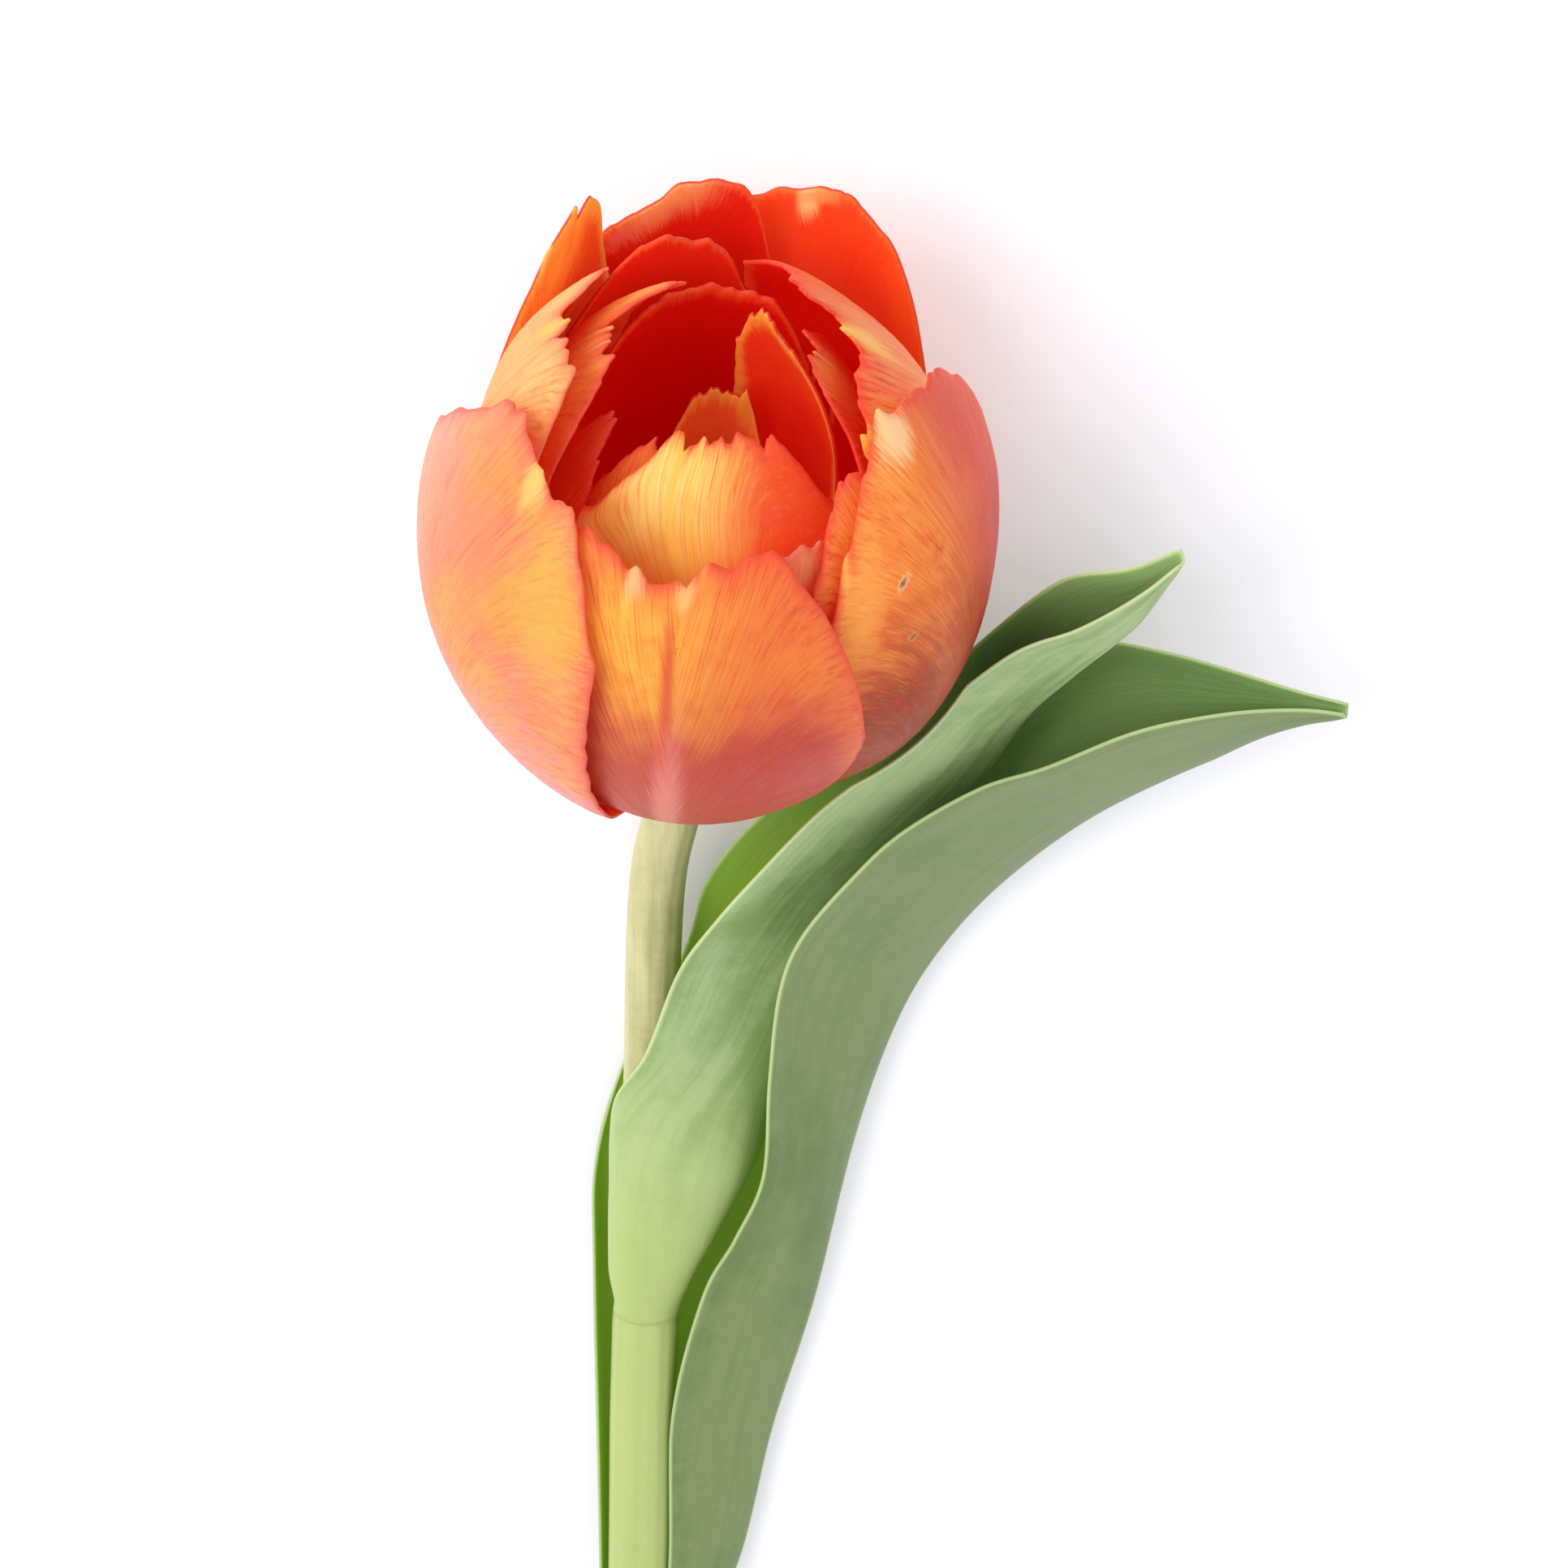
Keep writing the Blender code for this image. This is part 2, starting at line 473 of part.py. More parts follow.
def make_stamens():
    for k in range(STAMEN_COUNT):
        turn = 2 * math.pi * (k + 0.5) / STAMEN_COUNT
        outward = np.array([math.cos(turn), math.sin(turn), 0.0])
        lift = np.array([0.0, 0.0, 1.0])
        heading = outward * math.sin(STAMEN_LEAN) + lift * math.cos(STAMEN_LEAN)
        foot = outward * STAMEN_RING + lift * (RECEPTACLE_HEIGHT + GAP + 0.1)
        steps = np.array([0, 0.5, 1.0, 1.06, 1.5, 1.92, 2.0])
        reach = np.where(steps <= 1, steps * FILAMENT_LENGTH, FILAMENT_LENGTH + (steps - 1) * ANTHER_LENGTH)
        radii = FILAMENT_RADIUS * np.array([1.0, 1.0, 0.8, 1.6, 1.7, 1.5, 0.6])
        points, faces = tube(from_head(foot + reach[:, None] * heading), radii, 6)
        make_object(f"stamen_{k + 1}", points, faces, (0.80, 0.62, 0.16), 0.7)


def main():
    for old in list(bpy.data.objects):
        bpy.data.objects.remove(old)
    make_stem()
    make_leaves()
    make_petals()
    make_pistil()
    make_stamens()


main()
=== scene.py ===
# %% [markdown]
# # A cut parrot tulip, lying down
#
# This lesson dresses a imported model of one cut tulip.  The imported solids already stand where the
# real pieces stand, so every cell below builds a finer piece in the same place: petals with cut
# margins and veins, two waxy leaves, a ridged stem, and the pistil and stamens inside the head.
# Sizes are in millimetres in the tables and become metres when a mesh is made.

import math
from collections import namedtuple

import bpy
import numpy as np
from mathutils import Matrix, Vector


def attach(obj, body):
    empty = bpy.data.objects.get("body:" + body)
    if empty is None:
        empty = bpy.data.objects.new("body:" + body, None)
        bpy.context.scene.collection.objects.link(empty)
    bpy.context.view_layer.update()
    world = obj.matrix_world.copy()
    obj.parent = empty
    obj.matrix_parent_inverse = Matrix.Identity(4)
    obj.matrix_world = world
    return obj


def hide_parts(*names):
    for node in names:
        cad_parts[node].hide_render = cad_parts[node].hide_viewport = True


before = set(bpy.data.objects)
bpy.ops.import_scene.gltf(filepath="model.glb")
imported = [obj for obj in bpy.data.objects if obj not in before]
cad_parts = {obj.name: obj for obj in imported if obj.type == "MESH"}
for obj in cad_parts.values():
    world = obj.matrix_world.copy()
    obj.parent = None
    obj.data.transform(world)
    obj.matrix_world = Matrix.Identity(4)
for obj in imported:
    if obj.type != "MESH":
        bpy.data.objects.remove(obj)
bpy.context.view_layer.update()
print("solid pieces in the frame:", len(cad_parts))

# %% [markdown]
# ## Smooth curves
#
# A flower has no straight lines, so nearly every size here is read from a smooth curve.  A soft
# step eases from 0 to 1, a spline passes through a few given values, and a path spreads points
# evenly along a route.  They work on whole arrays at once, which keeps a petal of ten thousand
# points quick.

# %% Curve helpers
MM = 0.001


def ease(x, start, end):
    """A soft step from 0 at start to 1 at end."""
    x = np.clip((x - start) / (end - start), 0.0, 1.0)
    return x * x * (3.0 - 2.0 * x)


def spline(points, t):
    """Smooth curve through evenly timed points (or rows of them), read at each t from 0 to 1."""
    points = np.asarray(points, dtype=float)
    t = np.asarray(t, dtype=float)
    spot = np.clip(t, 0.0, 1.0) * (len(points) - 1)
    first = np.minimum(spot.astype(int), len(points) - 2)
    x = (spot - first).reshape(t.shape + (1,) * (points.ndim - 1))
    before = points[np.maximum(first - 1, 0)]
    start = points[first]
    end = points[first + 1]
    after = points[np.minimum(first + 2, len(points) - 1)]
    return 0.5 * ((2 * start) + (end - before) * x
                  + (2 * before - 5 * start + 4 * end - after) * x ** 2
                  + (3 * start - before - 3 * end + after) * x ** 3)


def path(points, count):
    """Evenly spaced points on a smooth curve through the given ones."""
    dense = spline(points, np.linspace(0.0, 1.0, 60 * len(points)))
    run = np.concatenate(([0.0], np.cumsum(np.linalg.norm(np.diff(dense, axis=0), axis=1))))
    even = np.linspace(0.0, run[-1], count)
    return np.stack([np.interp(even, run, dense[:, k]) for k in range(3)], axis=1)


print("halfway through a soft step:", float(ease(0.5, 0.0, 1.0)))

# %% [markdown]
# ## Where the head is
#
# The flower lies on its side, so its head has an axis of its own that rises 27 degrees from the
# table.  Petals are easiest to describe round that axis, as an angle, a radius and a height, and
# are then turned into the frame of the whole flower.

# %% The head's own axes
HEAD_BASE = np.array((-27.1, 102.2, 15.75))
HEAD_RISE = math.radians(27.0)
HEAD_SWING = math.radians(5.5)


def head_axes():
    """The head's right, its face towards the viewer and its axis."""
    along, across = math.cos(HEAD_SWING), math.sin(HEAD_SWING)
    flat = math.cos(HEAD_RISE)
    axis = np.array([across * flat, along * flat, math.sin(HEAD_RISE)])
    side = np.array([along, -across, 0.0])
    return side, np.cross(side, axis), axis


def from_head(points):
    """Turn points of the head's own frame into the flower's frame."""
    return HEAD_BASE + points @ np.stack(head_axes())


def into_head(points):
    return (points - HEAD_BASE) @ np.stack(head_axes()).T


print("head's axis:", np.round(head_axes()[2], 3))

# %% [markdown]
# ## The petals' shapes
#
# Each petal lies on one of a family of nested bowls.  A deeper layer has a smaller bowl and starts
# higher up the receptacle, so petals overlap without touching, as scales of a bud do.  One row of
# the table holds what makes a petal itself: where it stands, how wide it is, how its bowl closes,
# and the height of its margin at even steps from its left edge to its right one.

# %% Table of petals
BASE_RADIUS = 6.5        # of the bowls where they leave the receptacle
BELLY_RADIUS = 35.3      # of the outermost bowl at its widest
BELLY_HEIGHT = 44.0
BOTTOM_ROUNDING = 0.70
LAYER_STEP = 2.1         # how much smaller each layer's bowl is
FOOT_STEP = 1.6          # and how much higher it starts
FRINGE = 0.9

# A petal's name, azimuth, half width, layer, shoulder, mouth, rise, crown, shift of its two edges,
# roll of its tip, ruffle of its margin and seed
Petal = namedtuple("Petal", (
    "name azimuth span layer shoulder mouth rise crown shift roll ruffle seed"))

PETALS = (
    Petal("petal_outer_left", -65, 45, 0, 44, 22.5, 78,
          (46, 51, 57, 62.5, 67, 70.5, 72, 72, 70, 69, 67.5, 63, 54), (0, 0), -0.4, 0.6, 1),
    Petal("petal_outer_front", -2, 42, 1, 44, 19.0, 78,
          (60, 64.5, 66, 65.5, 62.5, 63.5, 65, 66.5, 67, 66, 61.5, 53, 38), (0, 0), 0.0, 0.3, 2),
    Petal("petal_outer_right", 72.5, 42, 0, 46, 23.0, 82,
          (55, 64.5, 73.5, 78, 79.5, 80, 79.5, 78, 76, 72.5, 67, 58, 48), (2.3, 0), -0.5, 0.4, 3),
    Petal("petal_outer_back_right", 156, 43, 0, 47, 28.0, 84,
          (40, 42, 46, 54, 67, 73.5, 75.5, 74.5, 72.5, 70, 67, 60, 50), (1.3, 0), 0.8, 0.7, 4),
    Petal("petal_outer_back_left", 188, 41, 1, 47, 26.5, 84,
          (36, 38, 42, 52, 71, 75.5, 76, 75, 71.5, 68.5, 64.5, 59, 50), (0, 0), -0.4, 0.6, 5),
    Petal("petal_outer_forked", 229, 30, 2.2, 47, 23.5, 84,
          (44, 52, 61, 71.5, 77.5, 78.5, 71, 60.5, 51.5, 45, 41, 36, 30), (0.2, -0.7), 1.6, 0.3, 6),
    Petal("petal_middle_front", 22, 34, 4.4, 44, 15.0, 78, (52, 56.5, 61, 62.5, 63, 60.5, 52),
          (0, 0), 0.5, 0.6, 7),
    Petal("petal_middle_front_right", 58, 29, 2, 47, 17.0, 80, (60, 68.5, 72, 71.5, 70, 68, 60),
          (1.5, 0), 0.0, 0.4, 8),
    Petal("petal_middle_right", 118, 58, 3, 55, 7.0, 82,
          (69, 70.5, 73, 75, 75, 76, 78, 79.5, 78.5, 77, 74.5, 73, 70), (1.0, 0), 0.0, 0.6, 9),
    Petal("petal_middle_back", 195, 42, 4, 46, 17.0, 80,
          (50, 52.5, 56, 62, 70, 73.5, 75, 76, 76, 74, 68, 60, 50), (0, 0), 0.0, 0.3, 10),
    Petal("petal_middle_left", 264, 40, 3, 54, 15.0, 80,
          (72, 75, 76.5, 77.5, 76, 74.5, 74.5, 75, 75.5, 76.5, 76, 72, 66), (0, 0), 0.0, 0.7, 11),
    Petal("petal_inner_left", 257, 45, 5, 53, 7.5, 80,
          (77.5, 77.5, 78.5, 78, 74.5, 71.5, 72.5, 73.5, 74, 74, 72, 68.5, 62),
          (0, 0), 0.0, 0.7, 12),
    Petal("petal_inner_back", 191, 44, 6, 48, 15.0, 76, (58, 69, 69.5, 70, 68.5, 64, 50),
          (0, 0), -1.5, 0.5, 13),
    Petal("petal_inner_right", 102, 40, 6, 51, 9.0, 76, (62, 71, 74, 74, 73.5, 72, 62),
          (0, 0), 0.0, 0.7, 14),
    Petal("petal_inner_front", 4, 54, 5.4, 44, 8.0, 72, (60, 68, 70, 70, 70, 69, 60),
          (0, 0), 0.6, 0.5, 15),
    Petal("petal_inner_slip", -72, 25, 6.7, 46, 11.0, 68, (46, 58, 65, 65, 62, 58, 50),
          (0, 0), 0.0, 0.4, 16),
    Petal("petal_core_left", -40, 30, 8, 44, 9.0, 68, (54, 61, 65, 65.5, 65, 63, 54),
          (0, 0), 0.0, 0.5, 17),
    Petal("petal_core_right", 135, 38, 9.2, 48, 8.0, 74, (44, 60, 70, 74, 74.5, 74, 66),
          (0, 0), 0.0, 0.5, 18),
    Petal("petal_core_back", 179, 28, 11, 46, 6.5, 68, (48, 56, 58, 57.5, 57.5, 55.5, 46),
          (0, 0), 0.5, 0.4, 19),
)
print("petals:", len(PETALS))

# %% [markdown]
# ## One petal as a sheet of points
#
# A real petal's margin is softly lobed, with a sharp tooth or a notch here and there, and its veins
# run up from the foot and bend outwards until they meet the margin nearly square.  The sheet is
# therefore made with fine steps, the lobes are waves whose depth comes and goes, and the few big
# teeth are listed.  Each point also keeps which vein it lies on and how far it is from the midrib,
# for the colours.

# %% Petal settings
PETAL_GRID = (110, 90)   # steps across and along a petal
SMALL_GRID = (80, 66)    # and those of the petals from the small layer inwards
SMALL_LAYER = 6
LOBE = 0.34              # depth of the small lobes along a margin
VEIN_RISE = 0.6          # how far up the midrib a vein leaves it before it meets the margin square
VEIN_REACH = 75.0        # the height over which the veins' numbers go from 0 to 1
PETAL_FLOOR = 0.4        # half of a petal's thickness: a petal is pressed flat on the table
FOOT_WIDTH = 0.70        # a petal's angle at its foot, as a share of its angle at its belly
RIB_WIDTH = 1.1
TOP = 0.86               # the lobes of a margin begin at this share of the way to it

# Big teeth (and notches, below 0) of a petal's top margin: where across it, half width and height
TEETH = {
    "petal_outer_left": ((0.38, 0.06, 1.4), (0.07, 0.05, 0.8), (0.50, 0.05, -0.8)),
    "petal_outer_front": ((-0.36, 0.05, 1.3), (-0.06, 0.04, -1.3), (0.04, 0.06, 0.8)),
    "petal_outer_right": ((-0.46, 0.05, 1.3), (-0.87, 0.05, 1.0), (-0.62, 0.07, -0.8)),
    "petal_outer_forked": ((-0.19, 0.035, -4.5), (-0.115, 0.03, 1.2), (0.03, 0.03, 1.8)),
    "petal_middle_left": ((0.0, 0.05, 1.0), (0.14, 0.05, -1.2)),
    "petal_middle_right": ((-0.24, 0.04, 1.3), (-0.36, 0.04, -0.8), (-0.93, 0.05, 1.5),
                           (0.02, 0.05, -1.0)),
    "petal_inner_left": ((-0.05, 0.05, 1.3), (0.25, 0.05, 0.8)),
    "petal_inner_front": ((-0.42, 0.05, -1.7), (-0.56, 0.08, 0.6), (-0.26, 0.08, 0.6)),
    "petal_inner_right": ((-0.1, 0.04, 1.0), (0.25, 0.05, -0.8)),
    "petal_core_back": ((-0.62, 0.06, 1.6),),
    "petal_core_left": ((0.2, 0.1, 1.0),),
}

# Where a strong midrib runs: across the petal at its margin and lower down, and how high it stands
RIBS = {"petal_inner_front": (-0.42, -0.08, 0.35), "petal_outer_front": (-0.07, -0.04, -0.25)}


# %% Petal outlines
def bowl_radius(height, layer, shoulder, mouth, rise):
    """Radius of the bowl of a layer at a height along the head's axis."""
    foot = layer * FOOT_STEP
    belly = BELLY_RADIUS - layer * LAYER_STEP
    opening = np.clip((height - foot) / (BELLY_HEIGHT - foot), 0, 1)
    lower = BASE_RADIUS + (belly - BASE_RADIUS) * np.sin(np.pi / 2 * opening) ** BOTTOM_ROUNDING
    closing = np.clip((height - shoulder) / (rise - shoulder), 0, 1)
    upper = mouth + (belly - mouth) * np.cos(np.pi / 2 * closing)
    return np.where(height < max(shoulder, BELLY_HEIGHT), np.minimum(lower, upper), upper)


def margin_cuts(petal, u):
    """Uneven cuts along the top margin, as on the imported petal."""
    phase = petal.seed * 1.7
    wave = 0.5 * np.sin(9.0 * u + phase) + 0.35 * np.sin(17.0 * u + 2.1 * phase)
    return FRINGE * (wave + 0.3 * np.sin(31.0 * u + 3.3 * phase))


def small_lobes(place, seed):
    """Small rounded lobes along a margin, deep in some stretches and nearly gone in others."""
    depth = 0.35 + 0.65 * ease(0.5 + 0.9 * np.sin(7.0 * place + 2.3 * seed), 0.0, 1.0)
    lobes = np.abs(np.sin(27.0 * place + 0.8 * np.sin(9.0 * place) + seed))
    crumbs = 0.25 * np.abs(np.sin(67.0 * place + 1.9 * seed))
    return LOBE * depth * (lobes + crumbs - 0.8)


def big_teeth(name, u):
    """Height of the listed teeth along a margin, and how much of a tooth's tip each place is."""
    height = np.zeros_like(u)
    tip = np.zeros_like(u)
    for place, width, tall in TEETH.get(name, ()):
        bump = np.exp(-np.abs((u - place) / width) ** 1.5)
        height += tall * bump
        tip += max(tall, 0.0) * bump / 2.0
    return height, tip


# %% Petal sheets
def petal_sheet(petal, grid):
    """A petal's middle surface and the numbers that its colours follow."""
    across, along = grid
    u, v = np.meshgrid(np.linspace(-1, 1, across + 1), np.linspace(0, 1, along + 1))
    foot = petal.layer * FOOT_STEP
    near_top = ease(v, TOP, 1.0)
    near_side = ease(np.abs(u), TOP, 1.0)
    teeth, tip = big_teeth(petal.name, u)
    crown = spline(petal.crown, (u + 1) / 2) + margin_cuts(petal, u) * ease(v, 0.7, 1.0)
    crown = crown + (small_lobes(1.1 * u, petal.seed) + teeth) * near_top
    height = foot + v ** 1.15 * (crown - foot)

    spread = FOOT_WIDTH + (1.0 - FOOT_WIDTH) * np.sin(np.pi / 2 * np.clip(v / 0.45, 0, 1))
    azimuth = np.radians(petal.azimuth + u * petal.span * spread)
    radius = bowl_radius(height, petal.layer, petal.shoulder, petal.mouth, petal.rise)
    side_lobes = small_lobes(1.3 * v + np.sign(u), petal.seed + 5) * ease(v, 0.15, 0.45)
    azimuth = azimuth + np.sign(u) * side_lobes * near_side / radius

    edge = np.where(u < 0, petal.shift[0], petal.shift[1]) * ease(np.abs(u), 0.2, 1.0)
    radius = radius - edge * LAYER_STEP * ease(v, 0.0, 0.14)
    radius = radius + petal.roll * ease(v, 0.78, 1.0)
    wave = np.sin(7.0 * u + petal.seed) * ease(v, 0.35, 1.0) * (0.35 + 0.65 * u * u)
    radius = radius + petal.ruffle * wave

    rib_top, rib_low, rib_height = RIBS.get(petal.name, (0.0, 0.0, 0.0))
    off_rib = u - (rib_low + (rib_top - rib_low) * ease(v, 0.70, 0.96))
    rib = off_rib * np.radians(petal.span * spread) * radius
    radius = radius + rib_height * np.exp(-(rib / RIB_WIDTH) ** 2) * ease(v, 0.3, 0.7)

    local = np.stack([radius * np.sin(azimuth), radius * np.cos(azimuth), height], axis=-1)
    sheet = from_head(local)
    sheet[..., 2] = np.maximum(sheet[..., 2], PETAL_FLOOR)
    inward = 1.0 - np.clip(np.abs(off_rib), 0.0, 1.0)
    vein = np.stack([(height - foot) / VEIN_REACH + VEIN_RISE * inward ** 3, off_rib,
                     np.clip(tip, 0, 1) * near_top], axis=-1)
    return sheet, u, v, vein, rib


def rim_distance(sheet):
    """How far each point is from the sides and the top of its sheet, in millimetres."""
    run = np.cumsum(np.linalg.norm(np.diff(sheet, axis=1, prepend=sheet[:, :1]), axis=2), axis=1)
    climb = np.cumsum(np.linalg.norm(np.diff(sheet, axis=0, prepend=sheet[:1]), axis=2), axis=0)
    return np.minimum(np.minimum(run, run[:, -1:] - run), climb[-1:] - climb)


def sheet_mesh(name, sheet, u, v, vein, **numbers):
    """An open grid of faces that carries its own map and numbers."""
    rows, columns = u.shape
    index = np.arange(rows * columns).reshape(rows, columns)
    quads = np.stack([index[:-1, :-1], index[:-1, 1:], index[1:, 1:], index[1:, :-1]], axis=-1)
    mesh = bpy.data.meshes.new(name)
    mesh.from_pydata((sheet.reshape(-1, 3) * MM).tolist(), [], quads.reshape(-1, 4).tolist())
    place = np.stack([(u + 1) / 2, v], axis=-1).reshape(-1, 2)
    corners = np.empty(len(mesh.loops), dtype=np.int32)
    mesh.loops.foreach_get("vertex_index", corners)
    mesh.uv_layers.new(name="blade").data.foreach_set("uv", place[corners].ravel())
    mesh.attributes.new("vein", "FLOAT_VECTOR", "POINT").data.foreach_set("vector", vein.ravel())
    for key, values in dict(numbers, rim=rim_distance(sheet)).items():
        mesh.attributes.new(key, "FLOAT", "POINT").data.foreach_set("value", values.ravel())
    return mesh


print("points on a large petal:", petal_sheet(PETALS[0], PETAL_GRID)[1].size)

# %% [markdown]
# ## From a sheet to a blade
#
# Petals and leaves are the same kind of thing, a thin blade with veins, so one Geometry Nodes tree
# finishes them all.  It lifts the veins a little, copies the sheet to both faces, closes the margin
# with a narrow wall and sets the material.  A blade is thinner at its margin than in its middle,
# and a number marks its inner face, because the two faces of a petal have different colours.
# The trees here repeat a few steps, so a small board of short names comes first.

# %% Node board
class Board:
    """A node tree with short ways to add what the trees below need again and again."""

    def __init__(self, tree):
        self.tree = tree

    def node(self, kind, values=None, **settings):
        node = self.tree.nodes.new(kind)
        for key, value in settings.items():
            setattr(node, key, value)
        for key, value in (values or {}).items():
            self.feed(node.inputs[key], value)
        return node

    def first(self, kind, values=None, **settings):
        """A new node's first output."""
        return self.node(kind, values, **settings).outputs[0]

    def feed(self, socket, value):
        if isinstance(value, bpy.types.NodeSocket):
            self.tree.links.new(value, socket)
        else:
            socket.default_value = value

    def math(self, operation, a, b=0.0, c=0.0):
        return self.first("ShaderNodeMath", {0: a, 1: b, 2: c}, operation=operation)

    def plus(self, a, b):
        return self.math("ADD", a, b)

    def minus(self, a, b):
        return self.math("SUBTRACT", a, b)

    def times(self, a, b):
        return self.math("MULTIPLY", a, b)

    def about(self, pattern, share):
        """A pattern moved to either side of nought and scaled."""
        return self.times(self.minus(pattern, 0.5), share)

    def apart(self, a, b):
        return self.math("ABSOLUTE", self.minus(a, b))

    def vector(self, operation, a, b):
        return self.first("ShaderNodeVectorMath", {0: a, 1: b}, operation=operation)

    def scaled(self, vector, scale):
        return self.first("ShaderNodeVectorMath", {0: vector, "Scale": scale}, operation="SCALE")

    def split(self, vector):
        return self.node("ShaderNodeSeparateXYZ", {0: vector}).outputs

    def joined(self, x, y, z):
        return self.first("ShaderNodeCombineXYZ", {0: x, 1: y, 2: z})

    def noise(self, vector, scale, detail=3.0, roughness=0.5):
        values = {"Vector": vector, "Scale": scale, "Detail": detail, "Roughness": roughness}
        return self.node("ShaderNodeTexNoise", values).outputs["Fac"]

    def between(self, value, low, high, bottom=0.0, top=1.0, way="LINEAR"):
        values = {"Value": value, "From Min": low, "From Max": high, "To Min": bottom,
                  "To Max": top}
        return self.first("ShaderNodeMapRange", values, interpolation_type=way)

    def soft(self, value, low, high, bottom=0.0, top=1.0):
        return self.between(value, low, high, bottom, top, "SMOOTHSTEP")

    def blend(self, share, a, b):
        return self.node("ShaderNodeMix", {0: share, 6: a, 7: b}, data_type="RGBA").outputs[2]

    def give(self, values):
        """Lead values to the tree's own outputs."""
        border = self.tree.nodes.new("NodeGroupOutput").inputs
        for key, value in values.items():
            self.tree.links.new(value, border[key])
        return self.tree


def new_tree(name, kind, takes, gives):
    """A board for a new tree and its inputs.  A table lists names, or starting values, by kind."""
    tree = bpy.data.node_groups.new(name, kind + "NodeTree")
    for direction, table in (("INPUT", takes), ("OUTPUT", gives)):
        for socket_kind, names in table.items():
            for label in names:
                socket = tree.interface.new_socket(label, in_out=direction,
                                                   socket_type="NodeSocket" + socket_kind)
                if isinstance(names, dict):
                    socket.default_value = names[label]
    return Board(tree), tree.nodes.new("NodeGroupInput").outputs


# %% Geometry board
class ShapeBoard(Board):
    """A board with the steps that only shapes need."""

    def named(self, name, kind="FLOAT"):
        return self.first("GeometryNodeInputNamedAttribute", {"Name": name}, data_type=kind)

    def stored(self, geometry, name, value, kind, domain):
        return self.first("GeometryNodeStoreNamedAttribute", {
            "Geometry": geometry, "Name": name, "Value": value}, data_type=kind, domain=domain)

    def moved(self, geometry, offset):
        return self.first("GeometryNodeSetPosition", {"Geometry": geometry, "Offset": offset})

    def smooth(self, geometry):
        return self.first("GeometryNodeSetShadeSmooth", {"Geometry": geometry})

    def swept(self, curve, sides, bulge):
        """A ring swept along a curve; bulge says how far it stands out at each angle round it."""
        girth = self.named("girth")
        thick = self.first("GeometryNodeSetCurveRadius", {"Curve": curve, "Radius": girth})
        ring = self.first("GeometryNodeCurvePrimitiveCircle", {"Resolution": sides, "Radius": 1.0})
        place = self.first("GeometryNodeInputPosition")
        x, y, _ = self.split(place)
        shaped = self.moved(ring, self.scaled(place, bulge(self.math("ARCTAN2", y, x))))
        return self.smooth(self.first("GeometryNodeCurveToMesh", {
            "Curve": thick, "Profile Curve": shaped, "Scale": girth, "Fill Caps": True}))

    def finish(self, name, geometry, material):
        real = self.first("GeometryNodeRealizeInstances", {"Geometry": geometry})
        dressed = self.first("GeometryNodeSetMaterial", {"Geometry": real, "Material": material})
        return self.give({name: dressed})


def shape_tree(name, takes_geometry, numbers, counts, gives):
    """A Geometry Nodes tree that is given one geometry, numbers, counts and a material."""
    board, given = new_tree(name, "Geometry", {
        "Geometry": (takes_geometry,), "Float": numbers, "Int": counts, "Material": ("Material",)},
        {"Geometry": (gives,)})
    return ShapeBoard(board.tree), given


# %% The blade tree
JOIN_WITHIN = 0.000001   # metres: points of the two faces that meet at the margin become one


def blade_tree():
    board, given = shape_tree("blade with veins", "Sheet", {
        "Thickness": 0.0006, "Rim Thickness": 0.0003, "Rim Width": 2.0, "Vein Height": 0.0001,
        "Vein Count": 14.0, "Vein Length": 3.0, "Seed": 0.0}, {}, "Blade")
    across, along, _ = board.split(board.named("vein", "FLOAT_VECTOR"))
    rim = board.named("rim")
    normal = board.first("GeometryNodeInputNormal")
    spot = board.joined(board.times(across, given["Vein Count"]),
                        board.times(along, given["Vein Length"]), given["Seed"])
    relief = board.minus(board.noise(spot, 1.0, 2.0), 0.5)
    lift = board.times(board.times(relief, board.soft(rim, 0.0, 3.0, 0.35, 1.0)),
                       given["Vein Height"])
    veined = board.moved(given["Sheet"], board.scaled(normal, lift))
    held = board.stored(veined, "outward", normal, "FLOAT_VECTOR", "POINT")
    outward = board.named("outward", "FLOAT_VECTOR")
    half = board.times(board.between(rim, 0.0, given["Rim Width"], given["Rim Thickness"],
                                     given["Thickness"]), 0.5)
    shell = board.node("GeometryNodeExtrudeMesh", {
        "Mesh": held, "Offset Scale": 0.0, "Individual": False}, mode="FACES").outputs
    way = board.first("GeometryNodeSwitch", {0: shell["Top"], 1: -1.0, 2: 1.0}, input_type="FLOAT")
    outer = board.moved(shell["Mesh"], board.scaled(outward, board.times(half, way)))
    inner = board.moved(held, board.scaled(outward, board.times(half, -1.0)))
    inner = board.first("GeometryNodeFlipFaces", {"Mesh": inner})
    both = board.node("GeometryNodeJoinGeometry")
    for side, inside in ((inner, 1.0), (outer, 0.0)):
        marked = board.stored(side, "inside", inside, "FLOAT", "FACE")
        board.tree.links.new(marked, both.inputs[0])
    closed = board.first("GeometryNodeMergeByDistance", {
        "Geometry": both.outputs[0], "Distance": JOIN_WITHIN})
    return board.finish("Blade", board.smooth(closed), given["Material"])


# %% From a tree to a piece
def move_points(mesh, change):
    """Replace a mesh's points by what change makes of them."""
    points = np.empty(len(mesh.vertices) * 3, dtype=np.float32)
    mesh.vertices.foreach_get("co", points)
    moved = np.asarray(change(points.reshape(-1, 3)), dtype=np.float32)
    mesh.vertices.foreach_set("co", moved.ravel())
    mesh.update()


def above_table(points):
    points[:, 2] = np.maximum(points[:, 2], 0.0)
    return points


